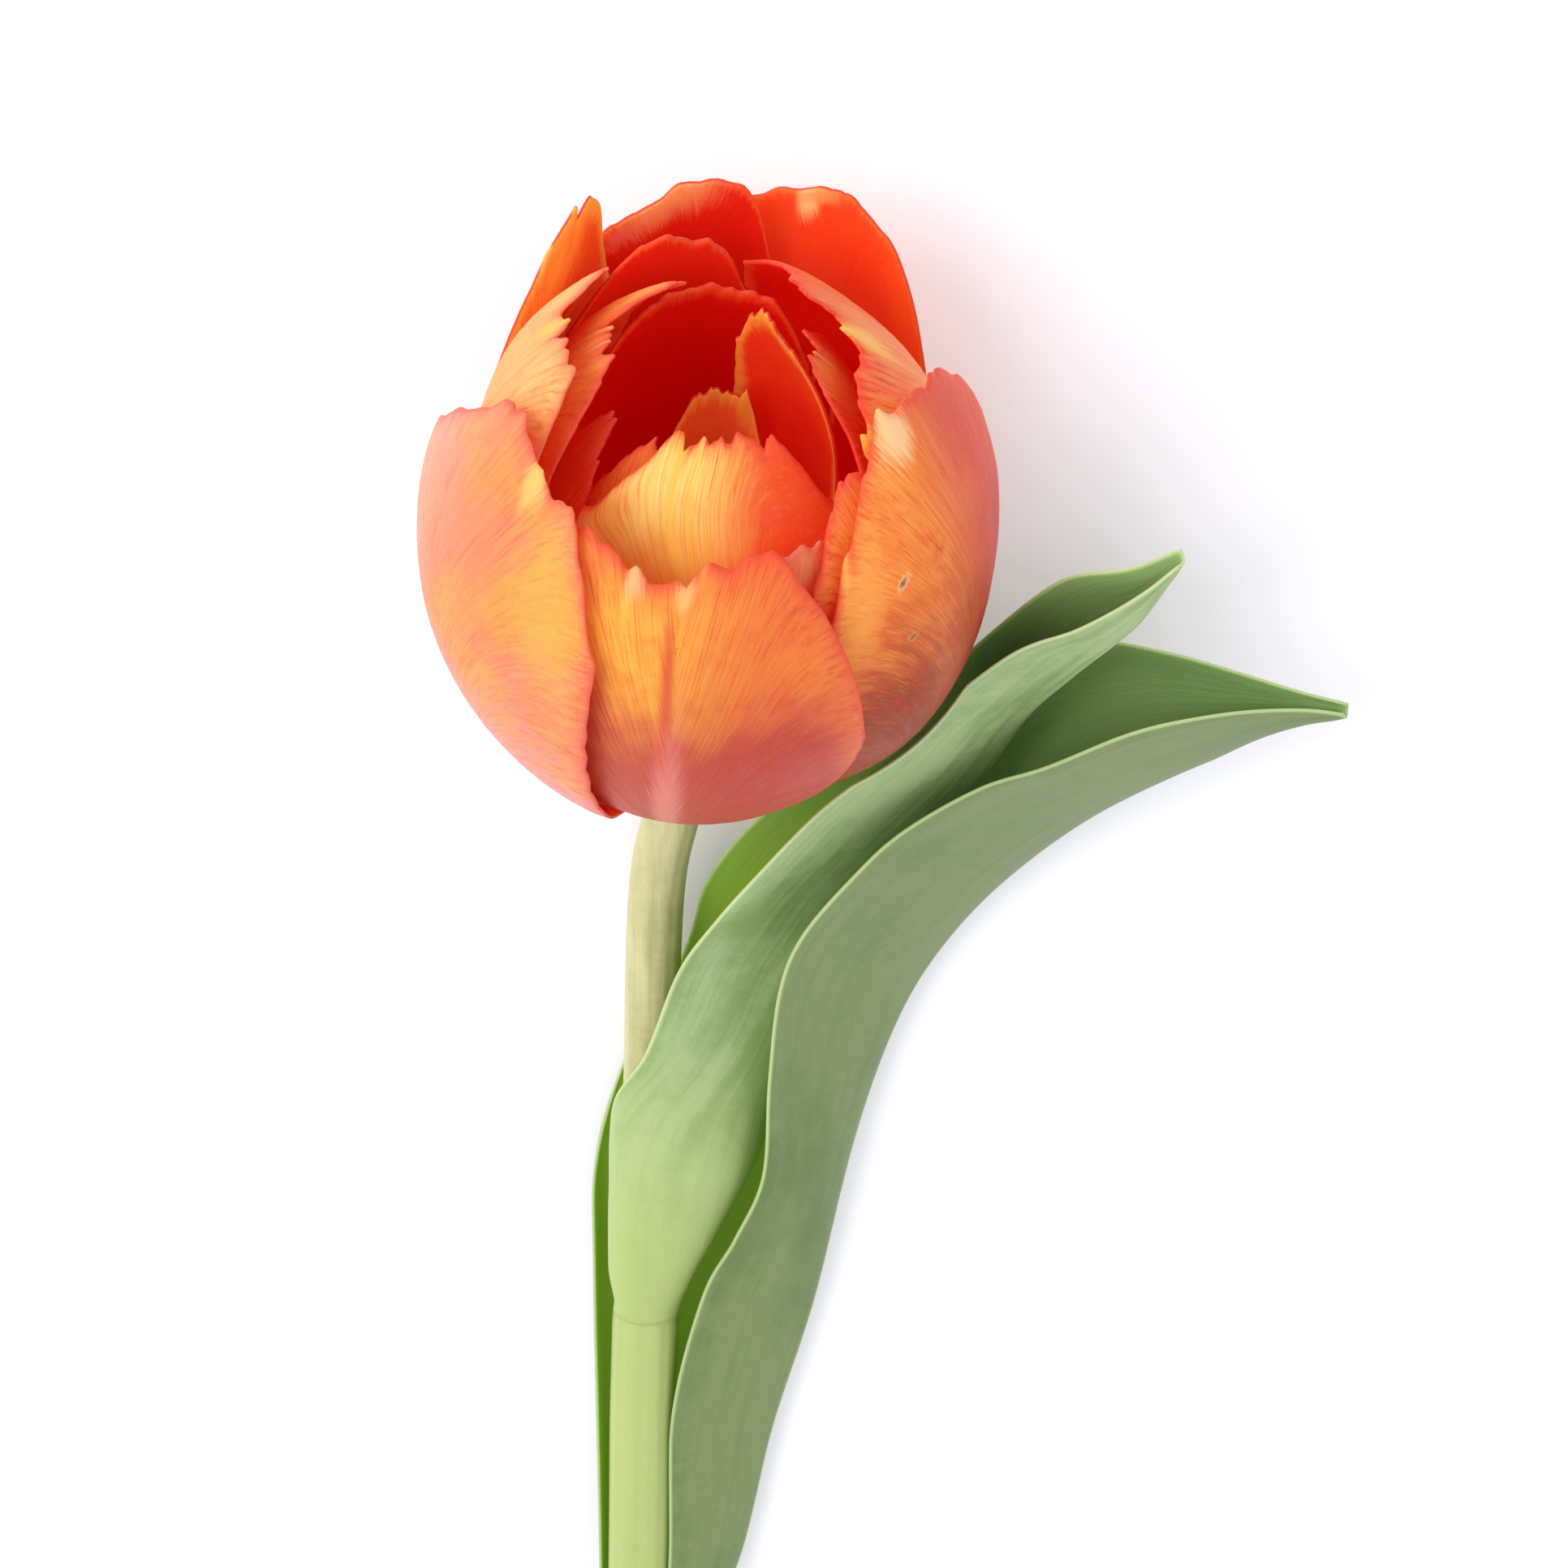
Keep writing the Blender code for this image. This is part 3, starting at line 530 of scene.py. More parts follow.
def run_tree(name, data, tree, values):
    """Give an object a Geometry Nodes tree, keep what it makes as a mesh and drop the tree."""
    draft = bpy.data.objects.new(name + "_draft", data)
    bpy.context.scene.collection.objects.link(draft)
    modifier = draft.modifiers.new("make", "NODES")
    modifier.node_group = tree
    ids = {item.name: item.identifier for item in tree.interface.items_tree
           if item.in_out == "INPUT"}
    for key, value in values.items():
        modifier[ids[key]] = value
    graph = bpy.context.evaluated_depsgraph_get()
    mesh = bpy.data.meshes.new_from_object(draft.evaluated_get(graph), depsgraph=graph)
    mesh.name = name
    draft.modifiers.remove(modifier)
    bpy.data.objects.remove(draft)
    move_points(mesh, above_table)
    return mesh


def show(name, mesh, slot, nodes):
    """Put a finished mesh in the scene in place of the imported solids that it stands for."""
    piece = bpy.data.objects.new(name, mesh)
    bpy.context.scene.collection.objects.link(piece)
    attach(piece, "root")
    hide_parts(*nodes)
    return piece


BLADE = blade_tree()
print("nodes in the blade tree:", len(BLADE.nodes))

# %% [markdown]
# ## Petal colours
#
# A tulip petal is never one colour.  Its body is apricot, yellow glows through in clouds where the
# tissue is thin, red runs in fine hatching along the veins and gathers at the margin, the foot is
# rosy, and the inner face is much redder than the outer one.  All of that is one shader node group,
# because every petal shows it with its own amounts.  A second small group paints a single spot,
# such as a scar or a pale tip, so a petal may have as many as it needs.  The shader itself stays in
# each material.

# %% Colour helpers
BLACK = (0.0, 0.0, 0.0, 1.0)

# What petals share: their colours, then how much of each shows and where it begins
BASE_LOOK = dict(
    body="ef7430", glow="f99c3e", flame="dc381e", flank="de4a2c", foot="c4443c",
    rim_colour="ea4632", tip="fbc964", inner="f4220c", inner_rim="f65c2a", deep="e60b05",
    glow_amount=0.7, flame_amount=0.5, flank_amount=0.0, flank_start=0.5, flank_end=0.9,
    foot_height=0.35, rim_width=4.0, inner_rim_width=2.0, midrib=0.0, crease=0.0)


def srgb(code):
    """A colour written as six hexadecimal digits, as the linear values that a shader wants."""
    parts = [int(code[k:k + 2], 16) / 255 for k in (0, 2, 4)]
    linear = [x / 12.92 if x <= 0.04045 else ((x + 0.055) / 1.055) ** 2.4 for x in parts]
    return (*linear, 1.0)


def title(key):
    """The name of a group's socket for a word of a look."""
    return key.replace("_", " ").title()


# %% Petal group
# Noise scales over the flower; patterns along the veins have a count, a length and a shift
CLOUDS, PATCHES = 62.0, 170.0
STREAKS, HATCH, HAIRS = (46.0, 3.0, 7.0), (125.0, 8.0, 13.0), (240.0, 14.0, 11.0)
CREASE_AT, SECOND_RIB_AT = -0.9, 1.9     # millimetres from the midrib


def petal_group():
    """A petal's colours on both faces, its relief, its roughness and the painted glow of its inner
    face.
    """
    colours = [title(key) for key, value in BASE_LOOK.items() if isinstance(value, str)]
    amounts = [title(key) for key in BASE_LOOK if title(key) not in colours]
    board, given = new_tree("petal colours", "Shader", {
        "Vector": ("Vein", "Place", "Spot"), "Color": colours,
        "Float": ("Rim", "Rib", "Inside", "Seed", *amounts)},
        {"Color": ("Colour", "Painted Glow"), "Float": ("Relief", "Roughness")})
    plus, minus, times, about = board.plus, board.minus, board.times, board.about
    noise, soft, blend = board.noise, board.soft, board.blend
    vein, place = board.split(given["Vein"]), board.split(given["Place"])

    def along_veins(count, length, shift):
        """A pattern drawn out along the veins, other on each side of the midrib."""
        side = board.math("MULTIPLY_ADD", board.math("SIGN", vein[1]), 9.0, shift)
        return board.joined(times(vein[0], count), times(vein[1], length),
                            plus(given["Seed"], side))

    clouds = noise(given["Spot"], CLOUDS, 3.0, 0.55)
    patches = noise(given["Spot"], PATCHES, 4.0, 0.65)
    streaks = noise(along_veins(*STREAKS), 1.0, 4.0, 0.65)
    hatch = noise(along_veins(*HATCH), 1.0, 3.0, 0.7)
    hairs = noise(along_veins(*HAIRS), 1.0, 2.0, 0.6)

    glow = soft(plus(clouds, about(streaks, 0.35)), 0.36, 0.62)
    outer = blend(times(glow, given["Glow Amount"]), given["Body"], given["Glow"])
    flank = soft(plus(place[0], plus(about(clouds, 0.5), about(streaks, 0.3))),
                 given["Flank Start"], given["Flank End"])
    flank = times(flank, given["Flank Amount"])
    outer = blend(flank, outer, given["Flank"])
    flame = soft(plus(patches, about(streaks, 0.7)), 0.50, 0.80)
    outer = blend(times(flame, given["Flame Amount"]), outer, given["Flame"])
    height = plus(place[1], plus(about(clouds, 0.4), about(streaks, 0.25)))
    low = soft(height, given["Foot Height"], minus(given["Foot Height"], 0.35))
    outer = blend(times(low, 0.92), outer, given["Foot"])

    near_rim = soft(given["Rim"], 16.0, 0.0)
    lines = times(soft(hatch, 0.50, 0.66), plus(times(near_rim, 0.30), 0.45))
    outer = blend(lines, outer, given["Flame"])
    pale = minus(1.0, board.math("MAXIMUM", times(low, 0.85), flank))
    for pattern, share in ((soft(hatch, 0.46, 0.34), 0.50), (soft(hairs, 0.52, 0.72), 0.35)):
        outer = blend(times(pattern, times(pale, share)), outer, given["Glow"])
    ragged = board.math("DIVIDE", plus(given["Rim"], about(streaks, 3.0)), given["Rim Width"])
    rim = plus(times(soft(ragged, 1.0, 0.0), 0.5), times(soft(ragged, 0.35, 0.0), 0.4))
    outer = blend(rim, outer, given["Rim Colour"])

    # Painted shade: a dark line in the flame colour along the crease beside the midrib, where the
    # petal folds.
    crease_shade = times(soft(board.apart(given["Rib"], CREASE_AT), 1.3, 0.0), soft(place[1], 0.98, 0.85))
    outer = blend(times(crease_shade, given["Crease"]), outer, given["Flame"])
    second = plus(board.apart(given["Rib"], SECOND_RIB_AT), 0.25)
    ridge = board.math("MINIMUM", board.math("ABSOLUTE", given["Rib"]), second)
    outer = blend(times(soft(ridge, 0.7, 0.1), given["Midrib"]), outer, given["Tip"])

    # Towards its foot the inner face turns to the deep colour: partly the petal's own darker red and
    # partly painted shade deep in the bowl.
    depth = soft(plus(place[1], about(clouds, 0.4)), 1.0, 0.55)
    inner = blend(depth, given["Inner"], given["Deep"])
    edge = board.math("DIVIDE", plus(given["Rim"], about(streaks, 5.0)), given["Inner Rim Width"])
    inner = blend(times(soft(edge, 1.0, 0.1), 0.9), inner, given["Inner Rim"])
    inner = blend(times(soft(hatch, 0.5, 0.75), 0.35), inner, given["Deep"])
    tip = times(soft(plus(vein[2], times(streaks, 0.3)), 0.35, 0.85), 0.85)
    # Painted glow: the inner face gives off its own colour, standing in for light that comes through
    # the petal.
    return board.give({
        "Colour": blend(tip, blend(given["Inside"], outer, inner), given["Tip"]),
        "Relief": plus(times(streaks, 0.5), plus(times(hatch, 0.4), times(hairs, 0.1))),
        "Roughness": soft(streaks, 0.3, 0.8, 0.42, 0.58),
        "Painted Glow": blend(given["Inside"], BLACK, inner)})


# %% Spot group
def spot_group():
    """Paints one ragged spot at a place of a petal's own map, on its outer or its inner face."""
    board, given = new_tree("one spot", "Shader", {
        "Color": ("Colour", "Paint"), "Vector": ("Place", "Centre", "Size", "Vein"),
        "Float": ("Inside", "Face", "Amount")}, {"Color": ("Colour",)})
    way = board.vector("DIVIDE", board.vector("SUBTRACT", given["Place"], given["Centre"]),
                       given["Size"])
    length = board.node("ShaderNodeVectorMath", {0: way}, operation="LENGTH").outputs["Value"]
    drawn = board.vector("MULTIPLY", given["Vein"], (110.0, 12.0, 0.0))
    rough = board.noise(drawn, 1.0, 3.0, 0.65)
    reach = board.math("MULTIPLY_ADD", board.minus(rough, 0.5), 1.6, length)
    face = board.minus(1.0, board.apart(given["Inside"], given["Face"]))
    mask = board.times(board.soft(reach, 1.3, 0.3), board.times(face, given["Amount"]))
    return board.give({"Colour": board.blend(mask, given["Colour"], given["Paint"])})


PETAL_COLOURS = petal_group()
ONE_SPOT = spot_group()
print("nodes in the petal group:", len(PETAL_COLOURS.nodes))

# %% [markdown]
# ## A look for each petal
#
# The petals share one recipe and differ in amounts.  The left petal faces the light and is peach
# and rose, the front one is golden with a rosy foot, the right one is a deeper orange, and those at
# the back show their red inner faces.  A short table holds what sets each of them apart, and
# another one lists the single spots: two brown scars, pale tips and the folded rim of a back petal.

# %% Table of looks
LOOKS = {
    "petal_outer_left": dict(
        body="f28660", glow="f89c48", flame="e4623e", flank="f5a488", foot="ef9890",
        rim_colour="f06450", tip="fcc46c", glow_amount=0.9, flame_amount=0.45, flank_amount=0.8,
        flank_start=0.6, flank_end=0.15, foot_height=0.70),
    # The front petal's crease carries a line of painted shade.
    "petal_outer_front": dict(
        body="f48c40", glow="fbb444", flame="dc4826", flank="ea6430", foot="b8322e",
        rim_colour="ee4c30", glow_amount=0.9, flame_amount=0.55, flank_amount=0.75,
        flank_start=0.40, flank_end=0.75, foot_height=0.92, rim_width=6.0, crease=0.8),
    # The right petal's dark brown foot is partly its own darker foot and partly painted shade where
    # the upper leaf shades it.
    "petal_outer_right": dict(
        body="f27a30", glow="fba446", flame="d83c1c", flank="dc4a3a", foot="8c2402",
        rim_colour="ec5436", glow_amount=0.85, flame_amount=0.8, flank_amount=0.9,
        flank_start=0.25, flank_end=0.55, foot_height=0.84, rim_width=5.0),
    "petal_outer_forked": dict(
        inner="f05a24", inner_rim="fbb048", deep="de3412", inner_rim_width=6.0, glow="fbb048"),
    "petal_outer_back_right": dict(inner="f45024", inner_rim="f67030", deep="e62412"),
    "petal_outer_back_left": dict(inner="e4220f", deep="cc0c07"),
    "petal_middle_left": dict(
        body="fba24c", glow="fdc476", flame="f0743a", rim_colour="f47a58", foot_height=0.1),
    "petal_inner_left": dict(
        body="fa8c40", glow="fdb254", flame="ee5a34", rim_colour="f0563a", rim_width=5.0,
        foot_height=0.1, inner="fb5c1c"),
    "petal_middle_right": dict(
        body="fa8444", glow="fdb85a", rim_colour="f0442e", flank="f05a40", flank_amount=0.6,
        flank_start=0.3, flank_end=0.7, rim_width=5.0),
    "petal_inner_front": dict(
        body="feba4a", glow="ffe07c", flame="f46a24", rim_colour="f2442a", flank="f23414",
        tip="fdc850", rim_width=3.0, glow_amount=0.95, flame_amount=0.25, flank_amount=0.9,
        flank_start=0.36, flank_end=0.76, foot_height=0.50, foot="e8421c", midrib=0.85),
    "petal_inner_back": dict(
        inner="e61606", deep="d00402", inner_rim="f25424", inner_rim_width=3.5),
    "petal_inner_right": dict(inner="ee1c0a", body="f4602c", glow="fba44c"),
    "petal_middle_back": dict(inner="f02c14", deep="e00c06"),
    "petal_inner_slip": dict(inner="f45424", body="e84e24", glow="f88a40"),
    "petal_middle_front": dict(body="f69a64", glow="fcc07c", rim_colour="f07258"),
    "petal_core_right": dict(
        inner="f6481c", deep="ea180a", inner_rim="faa03e", inner_rim_width=5.0),
    "petal_core_back": dict(inner="f86a2c", deep="f24a1c", inner_rim="fca844", inner_rim_width=3.5),
    "petal_core_left": dict(inner="f88a3a", deep="f04a1e", inner_rim="fdc056", inner_rim_width=4.0),
}

# A spot: across and along the petal's map, two sizes, paint, amount, and 1 for the inner face
SPOTS = {
    "petal_outer_right": ((0.212, 0.81, 0.020, 0.010, "f8c890", 0.8, 0),
                          (0.212, 0.81, 0.012, 0.006, "8e4a34", 0.9, 0),
                          (0.226, 0.71, 0.016, 0.008, "e8a070", 0.7, 0),
                          (0.226, 0.71, 0.010, 0.005, "8e3c24", 0.8, 0),
                          (0.290, 0.975, 0.060, 0.040, "fcd096", 0.85, 0),
                          (0.10, 0.88, 0.09, 0.12, "fbb04e", 0.55, 0)),
    "petal_outer_left": ((0.69, 0.985, 0.05, 0.03, "fcc068", 0.8, 0),
                         (0.86, 0.86, 0.12, 0.14, "fbb24e", 0.55, 0)),
    "petal_outer_front": ((0.33, 0.985, 0.03, 0.03, "fcb488", 0.6, 0),
                          (0.47, 0.98, 0.03, 0.03, "fcc070", 0.8, 0),
                          (0.475, 0.40, 0.05, 0.34, "ee8c80", 0.75, 0)),
    "petal_outer_back_right": ((0.590, 0.975, 0.035, 0.045, "fbdf90", 0.95, 1),
                               (0.56, 0.985, 0.06, 0.02, "f9b06a", 0.8, 1),
                               (0.30, 0.93, 0.10, 0.12, "fa6e28", 0.6, 1)),
    "petal_outer_back_left": ((0.62, 0.985, 0.17, 0.065, "fbae6c", 0.95, 1),
                              (0.74, 0.96, 0.06, 0.03, "f8907c", 0.8, 1)),
    "petal_outer_forked": ((0.44, 0.93, 0.10, 0.14, "fba844", 0.9, 1),),
    "petal_middle_right": ((0.39, 0.975, 0.05, 0.05, "fcc05c", 0.8, 0),
                           (0.04, 0.975, 0.06, 0.06, "fbb83c", 0.9, 0)),
    "petal_middle_left": ((0.48, 0.98, 0.05, 0.04, "fdc04c", 0.8, 0),),
    "petal_core_back": ((0.20, 0.95, 0.12, 0.10, "fcc04c", 0.9, 1),),
    "petal_core_right": ((0.12, 0.80, 0.08, 0.10, "f9a23e", 0.8, 1),),
}

# %% Petal materials
PETAL_SHINE = 0.16       # stands for the light that comes through a petal to its inner face
RELIEF = 0.0003          # metres: how deep the finest veins look
PETAL_BODY = {
    "Emission Strength": PETAL_SHINE, "Subsurface Weight": 0.25, "Subsurface Scale": 0.002,
    "Subsurface Radius": (1.0, 0.12, 0.05), "Specular IOR Level": 0.25}


def new_material(name):
    material = bpy.data.materials.new(name)
    material.use_nodes = True
    return material, Board(material.node_tree)


def painted_by(board, group, look):
    """A shared group inside a material, with a look's colours and amounts."""
    paint = board.node("ShaderNodeGroup", node_tree=group)
    for key, value in look.items():
        paint.inputs[title(key)].default_value = srgb(value) if isinstance(value, str) else value
    return paint


def place_on(board):
    return board.node("ShaderNodeTexCoord").outputs["Object"]


def read_blade(board, *names):
    """The map, the coordinates and the named numbers that a blade carries, as sockets."""
    read = {"Place": board.first("ShaderNodeUVMap", uv_map="blade"), "Spot": place_on(board)}
    for name in names:
        number = board.node("ShaderNodeAttribute", attribute_name=name.lower(),
                            attribute_type="GEOMETRY")
        read[name] = number.outputs["Vector" if name == "Vein" else "Fac"]
    return read


def coat(board, height, strength, distance, values):
    """Lead a relief and all other values to the material's shader."""
    bump = board.first("ShaderNodeBump", {
        "Height": height, "Strength": strength, "Distance": distance})
    shader = board.tree.nodes["Principled BSDF"]
    for key, value in {**values, "Normal": bump}.items():
        board.feed(shader.inputs[key], value)


def coat_tissue(board, paint, colour, strength, body):
    """Finish a petal or a green piece; body holds what is the same all over it."""
    # The emission colour is a painted glow that stands in for light coming through the tissue.
    coat(board, paint.outputs["Relief"], strength, RELIEF, {
        "Base Color": colour, "Roughness": paint.outputs["Roughness"],
        "Emission Color": paint.outputs["Painted Glow"], **body})


def petal_material(petal):
    """A petal's own material round the shared groups."""
    material, board = new_material(petal.name)
    paint = painted_by(board, PETAL_COLOURS, {**BASE_LOOK, **LOOKS.get(petal.name, {})})
    paint.inputs["Seed"].default_value = petal.seed * 2.7
    read = read_blade(board, "Vein", "Rim", "Rib", "Inside")
    for key, value in read.items():
        board.feed(paint.inputs[key], value)
    colour = paint.outputs["Colour"]
    for across, along, wide, tall, tone, amount, face in SPOTS.get(petal.name, ()):
        colour = board.node("ShaderNodeGroup", {
            "Colour": colour, "Paint": srgb(tone), "Place": read["Place"],
            "Centre": (across, along, 0.0), "Size": (wide, tall, 1.0), "Vein": read["Vein"],
            "Inside": read["Inside"], "Face": float(face), "Amount": amount},
            node_tree=ONE_SPOT).outputs["Colour"]
    coat_tissue(board, paint, colour, 0.6, PETAL_BODY)
    return material


# %% Grow the petals
def slot_of(name):
    """The record's material slot of a petal is the first two words of its name."""
    return "_".join(name.split("_")[:2])


# How a petal's blade is finished: thicknesses and vein height in metres, rim width in millimetres
PETAL_BLADE = {"Thickness": 0.0007, "Rim Thickness": 0.00035, "Rim Width": 2.5,
               "Vein Height": 0.00022, "Vein Count": 40.0, "Vein Length": 1.2}


def grow_petal(petal):
    grid = PETAL_GRID if petal.layer < SMALL_LAYER else SMALL_GRID
    sheet, u, v, vein, rib = petal_sheet(petal, grid)
    mesh = run_tree(petal.name, sheet_mesh(petal.name, sheet, u, v, vein, rib=rib), BLADE, {
        **PETAL_BLADE, "Seed": petal.seed * 3.1, "Material": petal_material(petal)})
    return show(petal.name + "_bloom", mesh, slot_of(petal.name), [petal.name])


petal_pieces = [grow_petal(petal) for petal in PETALS]
print("petal faces:", sum(len(piece.data.polygons) for piece in petal_pieces))

# %% [markdown]
# ## The stem
#
# A tulip stem is a fleshy, faintly ridged bar that is stouter below its leaves and swells under the
# petals.  It follows a path, so a Geometry Nodes tree sweeps a ridged ring along that path.  The
# line carries its girth at each point, because a swept ring can take its size from there.

# %% Stem route
STEM_RADIUS_TOP = 3.8
STEM_RADIUS_FOOT = 4.7
NODE_AT = -91.0          # where the upper leaf grows from the stem, along y from the head's base
RECEPTACLE_RADIUS = 5.7
RECEPTACLE_HEIGHT = 19.0
SWELLING = 8.0           # the length over which the stem changes its girth
STEM_STEPS = 320
STEM_ROUTE = ((-1.5, -8.3, 11.6), (-3.6, -18.0, 9.2), (-4.6, -30.0, 8.1), (-5.2, -48.0, 7.8),
              (-5.9, -68.0, 8.0), (-6.6, -88.0, 7.8), (-7.4, -108.0, 7.1), (-8.0, -130.0, 6.5),
              (-8.7, -153.0, 6.1), (-9.8, -195.0, 5.0), (-11.2, -235.0, 4.75), (-13.2, -285.0, 4.7))


def from_table(route):
    """A route with x and y from the head's base and z above the table, in the flower's frame."""
    return np.asarray(route) + HEAD_BASE * (1.0, 1.0, 0.0)


def stem_line(count):
    """The stem's axis from its cut end up through the receptacle."""
    axis = head_axes()[2]
    route = list(from_table(STEM_ROUTE[::-1]))
    route += [HEAD_BASE + axis * height for height in (0.0, 6.0, 13.0, RECEPTACLE_HEIGHT)]
    return path(route, count)


def stem_radii(line):
    """The stem is stouter below the leaves and swells into the receptacle under the petals."""
    stout = ease(-(line[:, 1] - HEAD_BASE[1]), -(NODE_AT + SWELLING), -NODE_AT)
    radii = STEM_RADIUS_TOP + (STEM_RADIUS_FOOT - STEM_RADIUS_TOP) * stout
    height = into_head(line)[:, 2]
    return radii + (RECEPTACLE_RADIUS - radii) * ease(height, 1.0 - SWELLING, 1.0)


def line_mesh(name, line, girth):
    """A bare line whose points know how thick the finished piece is there."""
    mesh = bpy.data.meshes.new(name)
    mesh.from_pydata((line * MM).tolist(), [(k, k + 1) for k in range(len(line) - 1)], [])
    mesh.attributes.new("girth", "FLOAT", "POINT").data.foreach_set("value", np.asarray(girth) * MM)
    return mesh


# %% Stem tree
def sweep_tree():
    """Sweeps a ridged ring along a line and closes both ends."""
    board, given = shape_tree("ridged sweep", "Line", {"Ridges": 9.0, "Ridge Height": 0.012},
                              {"Sides": 64}, "Bar")

    def ridges(turn):
        coarse = board.math("SINE", board.times(turn, given["Ridges"]))
        fine = board.math("SINE", board.math("MULTIPLY_ADD", turn, 17.0, 1.0))
        return board.times(board.plus(coarse, board.times(fine, 0.6)), given["Ridge Height"])

    curve = board.first("GeometryNodeMeshToCurve", {"Mesh": given["Line"]})
    upright = board.first("GeometryNodeSetCurveNormal", {"Curve": curve})
    return board.finish("Bar", board.swept(upright, given["Sides"], ridges), given["Material"])


SWEEP = sweep_tree()
print("nodes in the sweep tree:", len(SWEEP.nodes))

# %% [markdown]
# ## Green finishes
#
# Leaves and stem are covered with a pale wax that rubs off in places and leaves darker green.  Fine
# parallel veins run along them.  One node group mixes the wax, the rubbed patches and the veins,
# and each green material sets its own colours.  A leaf's foot fades into the paler stem colour.

# %% Green group
def green_group():
    """Waxy green with veins, for the two faces of a leaf and for the stem."""
    board, given = new_tree("waxy green", "Shader", {
        "Vector": ("Vein", "Spot"),
        "Color": ("Wax", "Green", "Inner", "Deep", "Margin", "Foot"),
        "Float": {"Along": 1.0, "Rim": 10.0, "Inside": 0.0, "Rubbed": 0.5, "Vein Count": 1.6,
                  "Rim Width": 0.7, "Foot Start": 0.25, "Foot End": 0.05, "Deep Start": 0.7,
                  "Deep End": 0.35}},
        {"Color": ("Colour", "Painted Glow"), "Float": ("Relief", "Roughness")})
    plus, times, noise = board.plus, board.times, board.noise
    soft, blend = board.soft, board.blend
    across, along, _ = board.split(given["Vein"])
    across = times(across, given["Vein Count"])

    def lines(scale, shift):
        """A pattern drawn out along the blade."""
        return board.joined(times(across, scale), times(along, 0.03), shift)

    veins = noise(lines(1.0, 0.0), 1.0, 3.0, 0.6)
    bands = noise(lines(0.22, 5.0), 1.0, 2.0, 0.5)
    clouds = noise(given["Spot"], 48.0, 4.0, 0.6)
    specks = noise(given["Spot"], 420.0, 3.0, 0.7)
    wear = board.math("MULTIPLY_ADD", bands, 0.5, times(clouds, 0.5))
    rubbed = soft(plus(wear, times(specks, 0.22)), 0.54, 0.76)
    outer = blend(times(rubbed, given["Rubbed"]), given["Wax"], given["Green"])
    outer = blend(times(soft(veins, 0.45, 0.75), 0.28), outer, given["Green"])

    far = soft(plus(given["Along"], board.about(clouds, 0.2)),
               given["Deep Start"], given["Deep End"])
    inner = blend(far, given["Inner"], given["Deep"])
    inner = blend(times(soft(veins, 0.4, 0.75), 0.4), inner, given["Deep"])
    colour = blend(given["Inside"], outer, inner)
    foot = soft(given["Along"], given["Foot Start"], given["Foot End"])
    colour = blend(times(foot, 0.9), colour, given["Foot"])
    edge = times(soft(given["Rim"], given["Rim Width"], 0.0), soft(given["Along"], 0.02, 0.06))
    # Painted glow: towards its foot a leaf's inner face gives off its deep green, standing in for
    # light that comes through the leaf.
    return board.give({
        "Colour": blend(times(edge, 0.8), colour, given["Margin"]),
        "Relief": plus(times(veins, 0.7), times(specks, 0.3)),
        "Roughness": soft(rubbed, 0.0, 1.0, 0.55, 0.40),
        "Painted Glow": blend(times(given["Inside"], far), BLACK, given["Deep"])})


GREEN = green_group()
LEAF_SHINE = 0.22        # stands for the light that comes through a leaf to its inner face
GREEN_BODY = {
    "Emission Strength": LEAF_SHINE, "Subsurface Weight": 0.4, "Subsurface Scale": 0.002,
    "Subsurface Radius": (0.6, 1.0, 0.15), "Specular IOR Level": 0.35}


def green_material(name, look, blade):
    """A waxy green material; a blade brings its own numbers, the stem uses Object coordinates."""
    material, board = new_material(name)
    paint = painted_by(board, GREEN, look)
    if blade:
        read = read_blade(board, "Vein", "Rim", "Inside")
        read["Along"] = board.split(read.pop("Place"))[1]
    else:
        spot = place_on(board)
        read = {"Spot": spot, "Along": board.soft(board.split(spot)[1], -0.08, 0.12),
                "Vein": board.scaled(spot, 1.0 / MM)}
    for key, value in read.items():
        board.feed(paint.inputs[key], value)
    coat_tissue(board, paint, paint.outputs["Colour"], 0.5, GREEN_BODY)
    return material


# %% Grow the stem
STEM_LOOK = dict(wax="d2cb98", green="a3a562", foot="b4c474", rubbed=0.6, vein_count=1.2,
                 foot_start=0.62, foot_end=0.42)
stem_way = stem_line(STEM_STEPS)
stem_mesh = run_tree("stem", line_mesh("stem", stem_way, stem_radii(stem_way)), SWEEP, {
    "Sides": 64, "Ridges": 9.0, "Ridge Height": 0.012,
    "Material": green_material("stem", STEM_LOOK, blade=False)})
show("stem_flesh", stem_mesh, "stem", ["stem"])
print("stem faces:", len(stem_mesh.polygons))

# %% [markdown]
# ## Pistil and stamens
#
# The petals hide nearly all of them in the photograph.  A tulip has six stamens round one
# three-sided pistil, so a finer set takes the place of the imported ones.  The stamens stand in a
# ring and are alike, so a Geometry Nodes tree turns one swept stamen six times.  The pistil is one
# sweep with three sides.

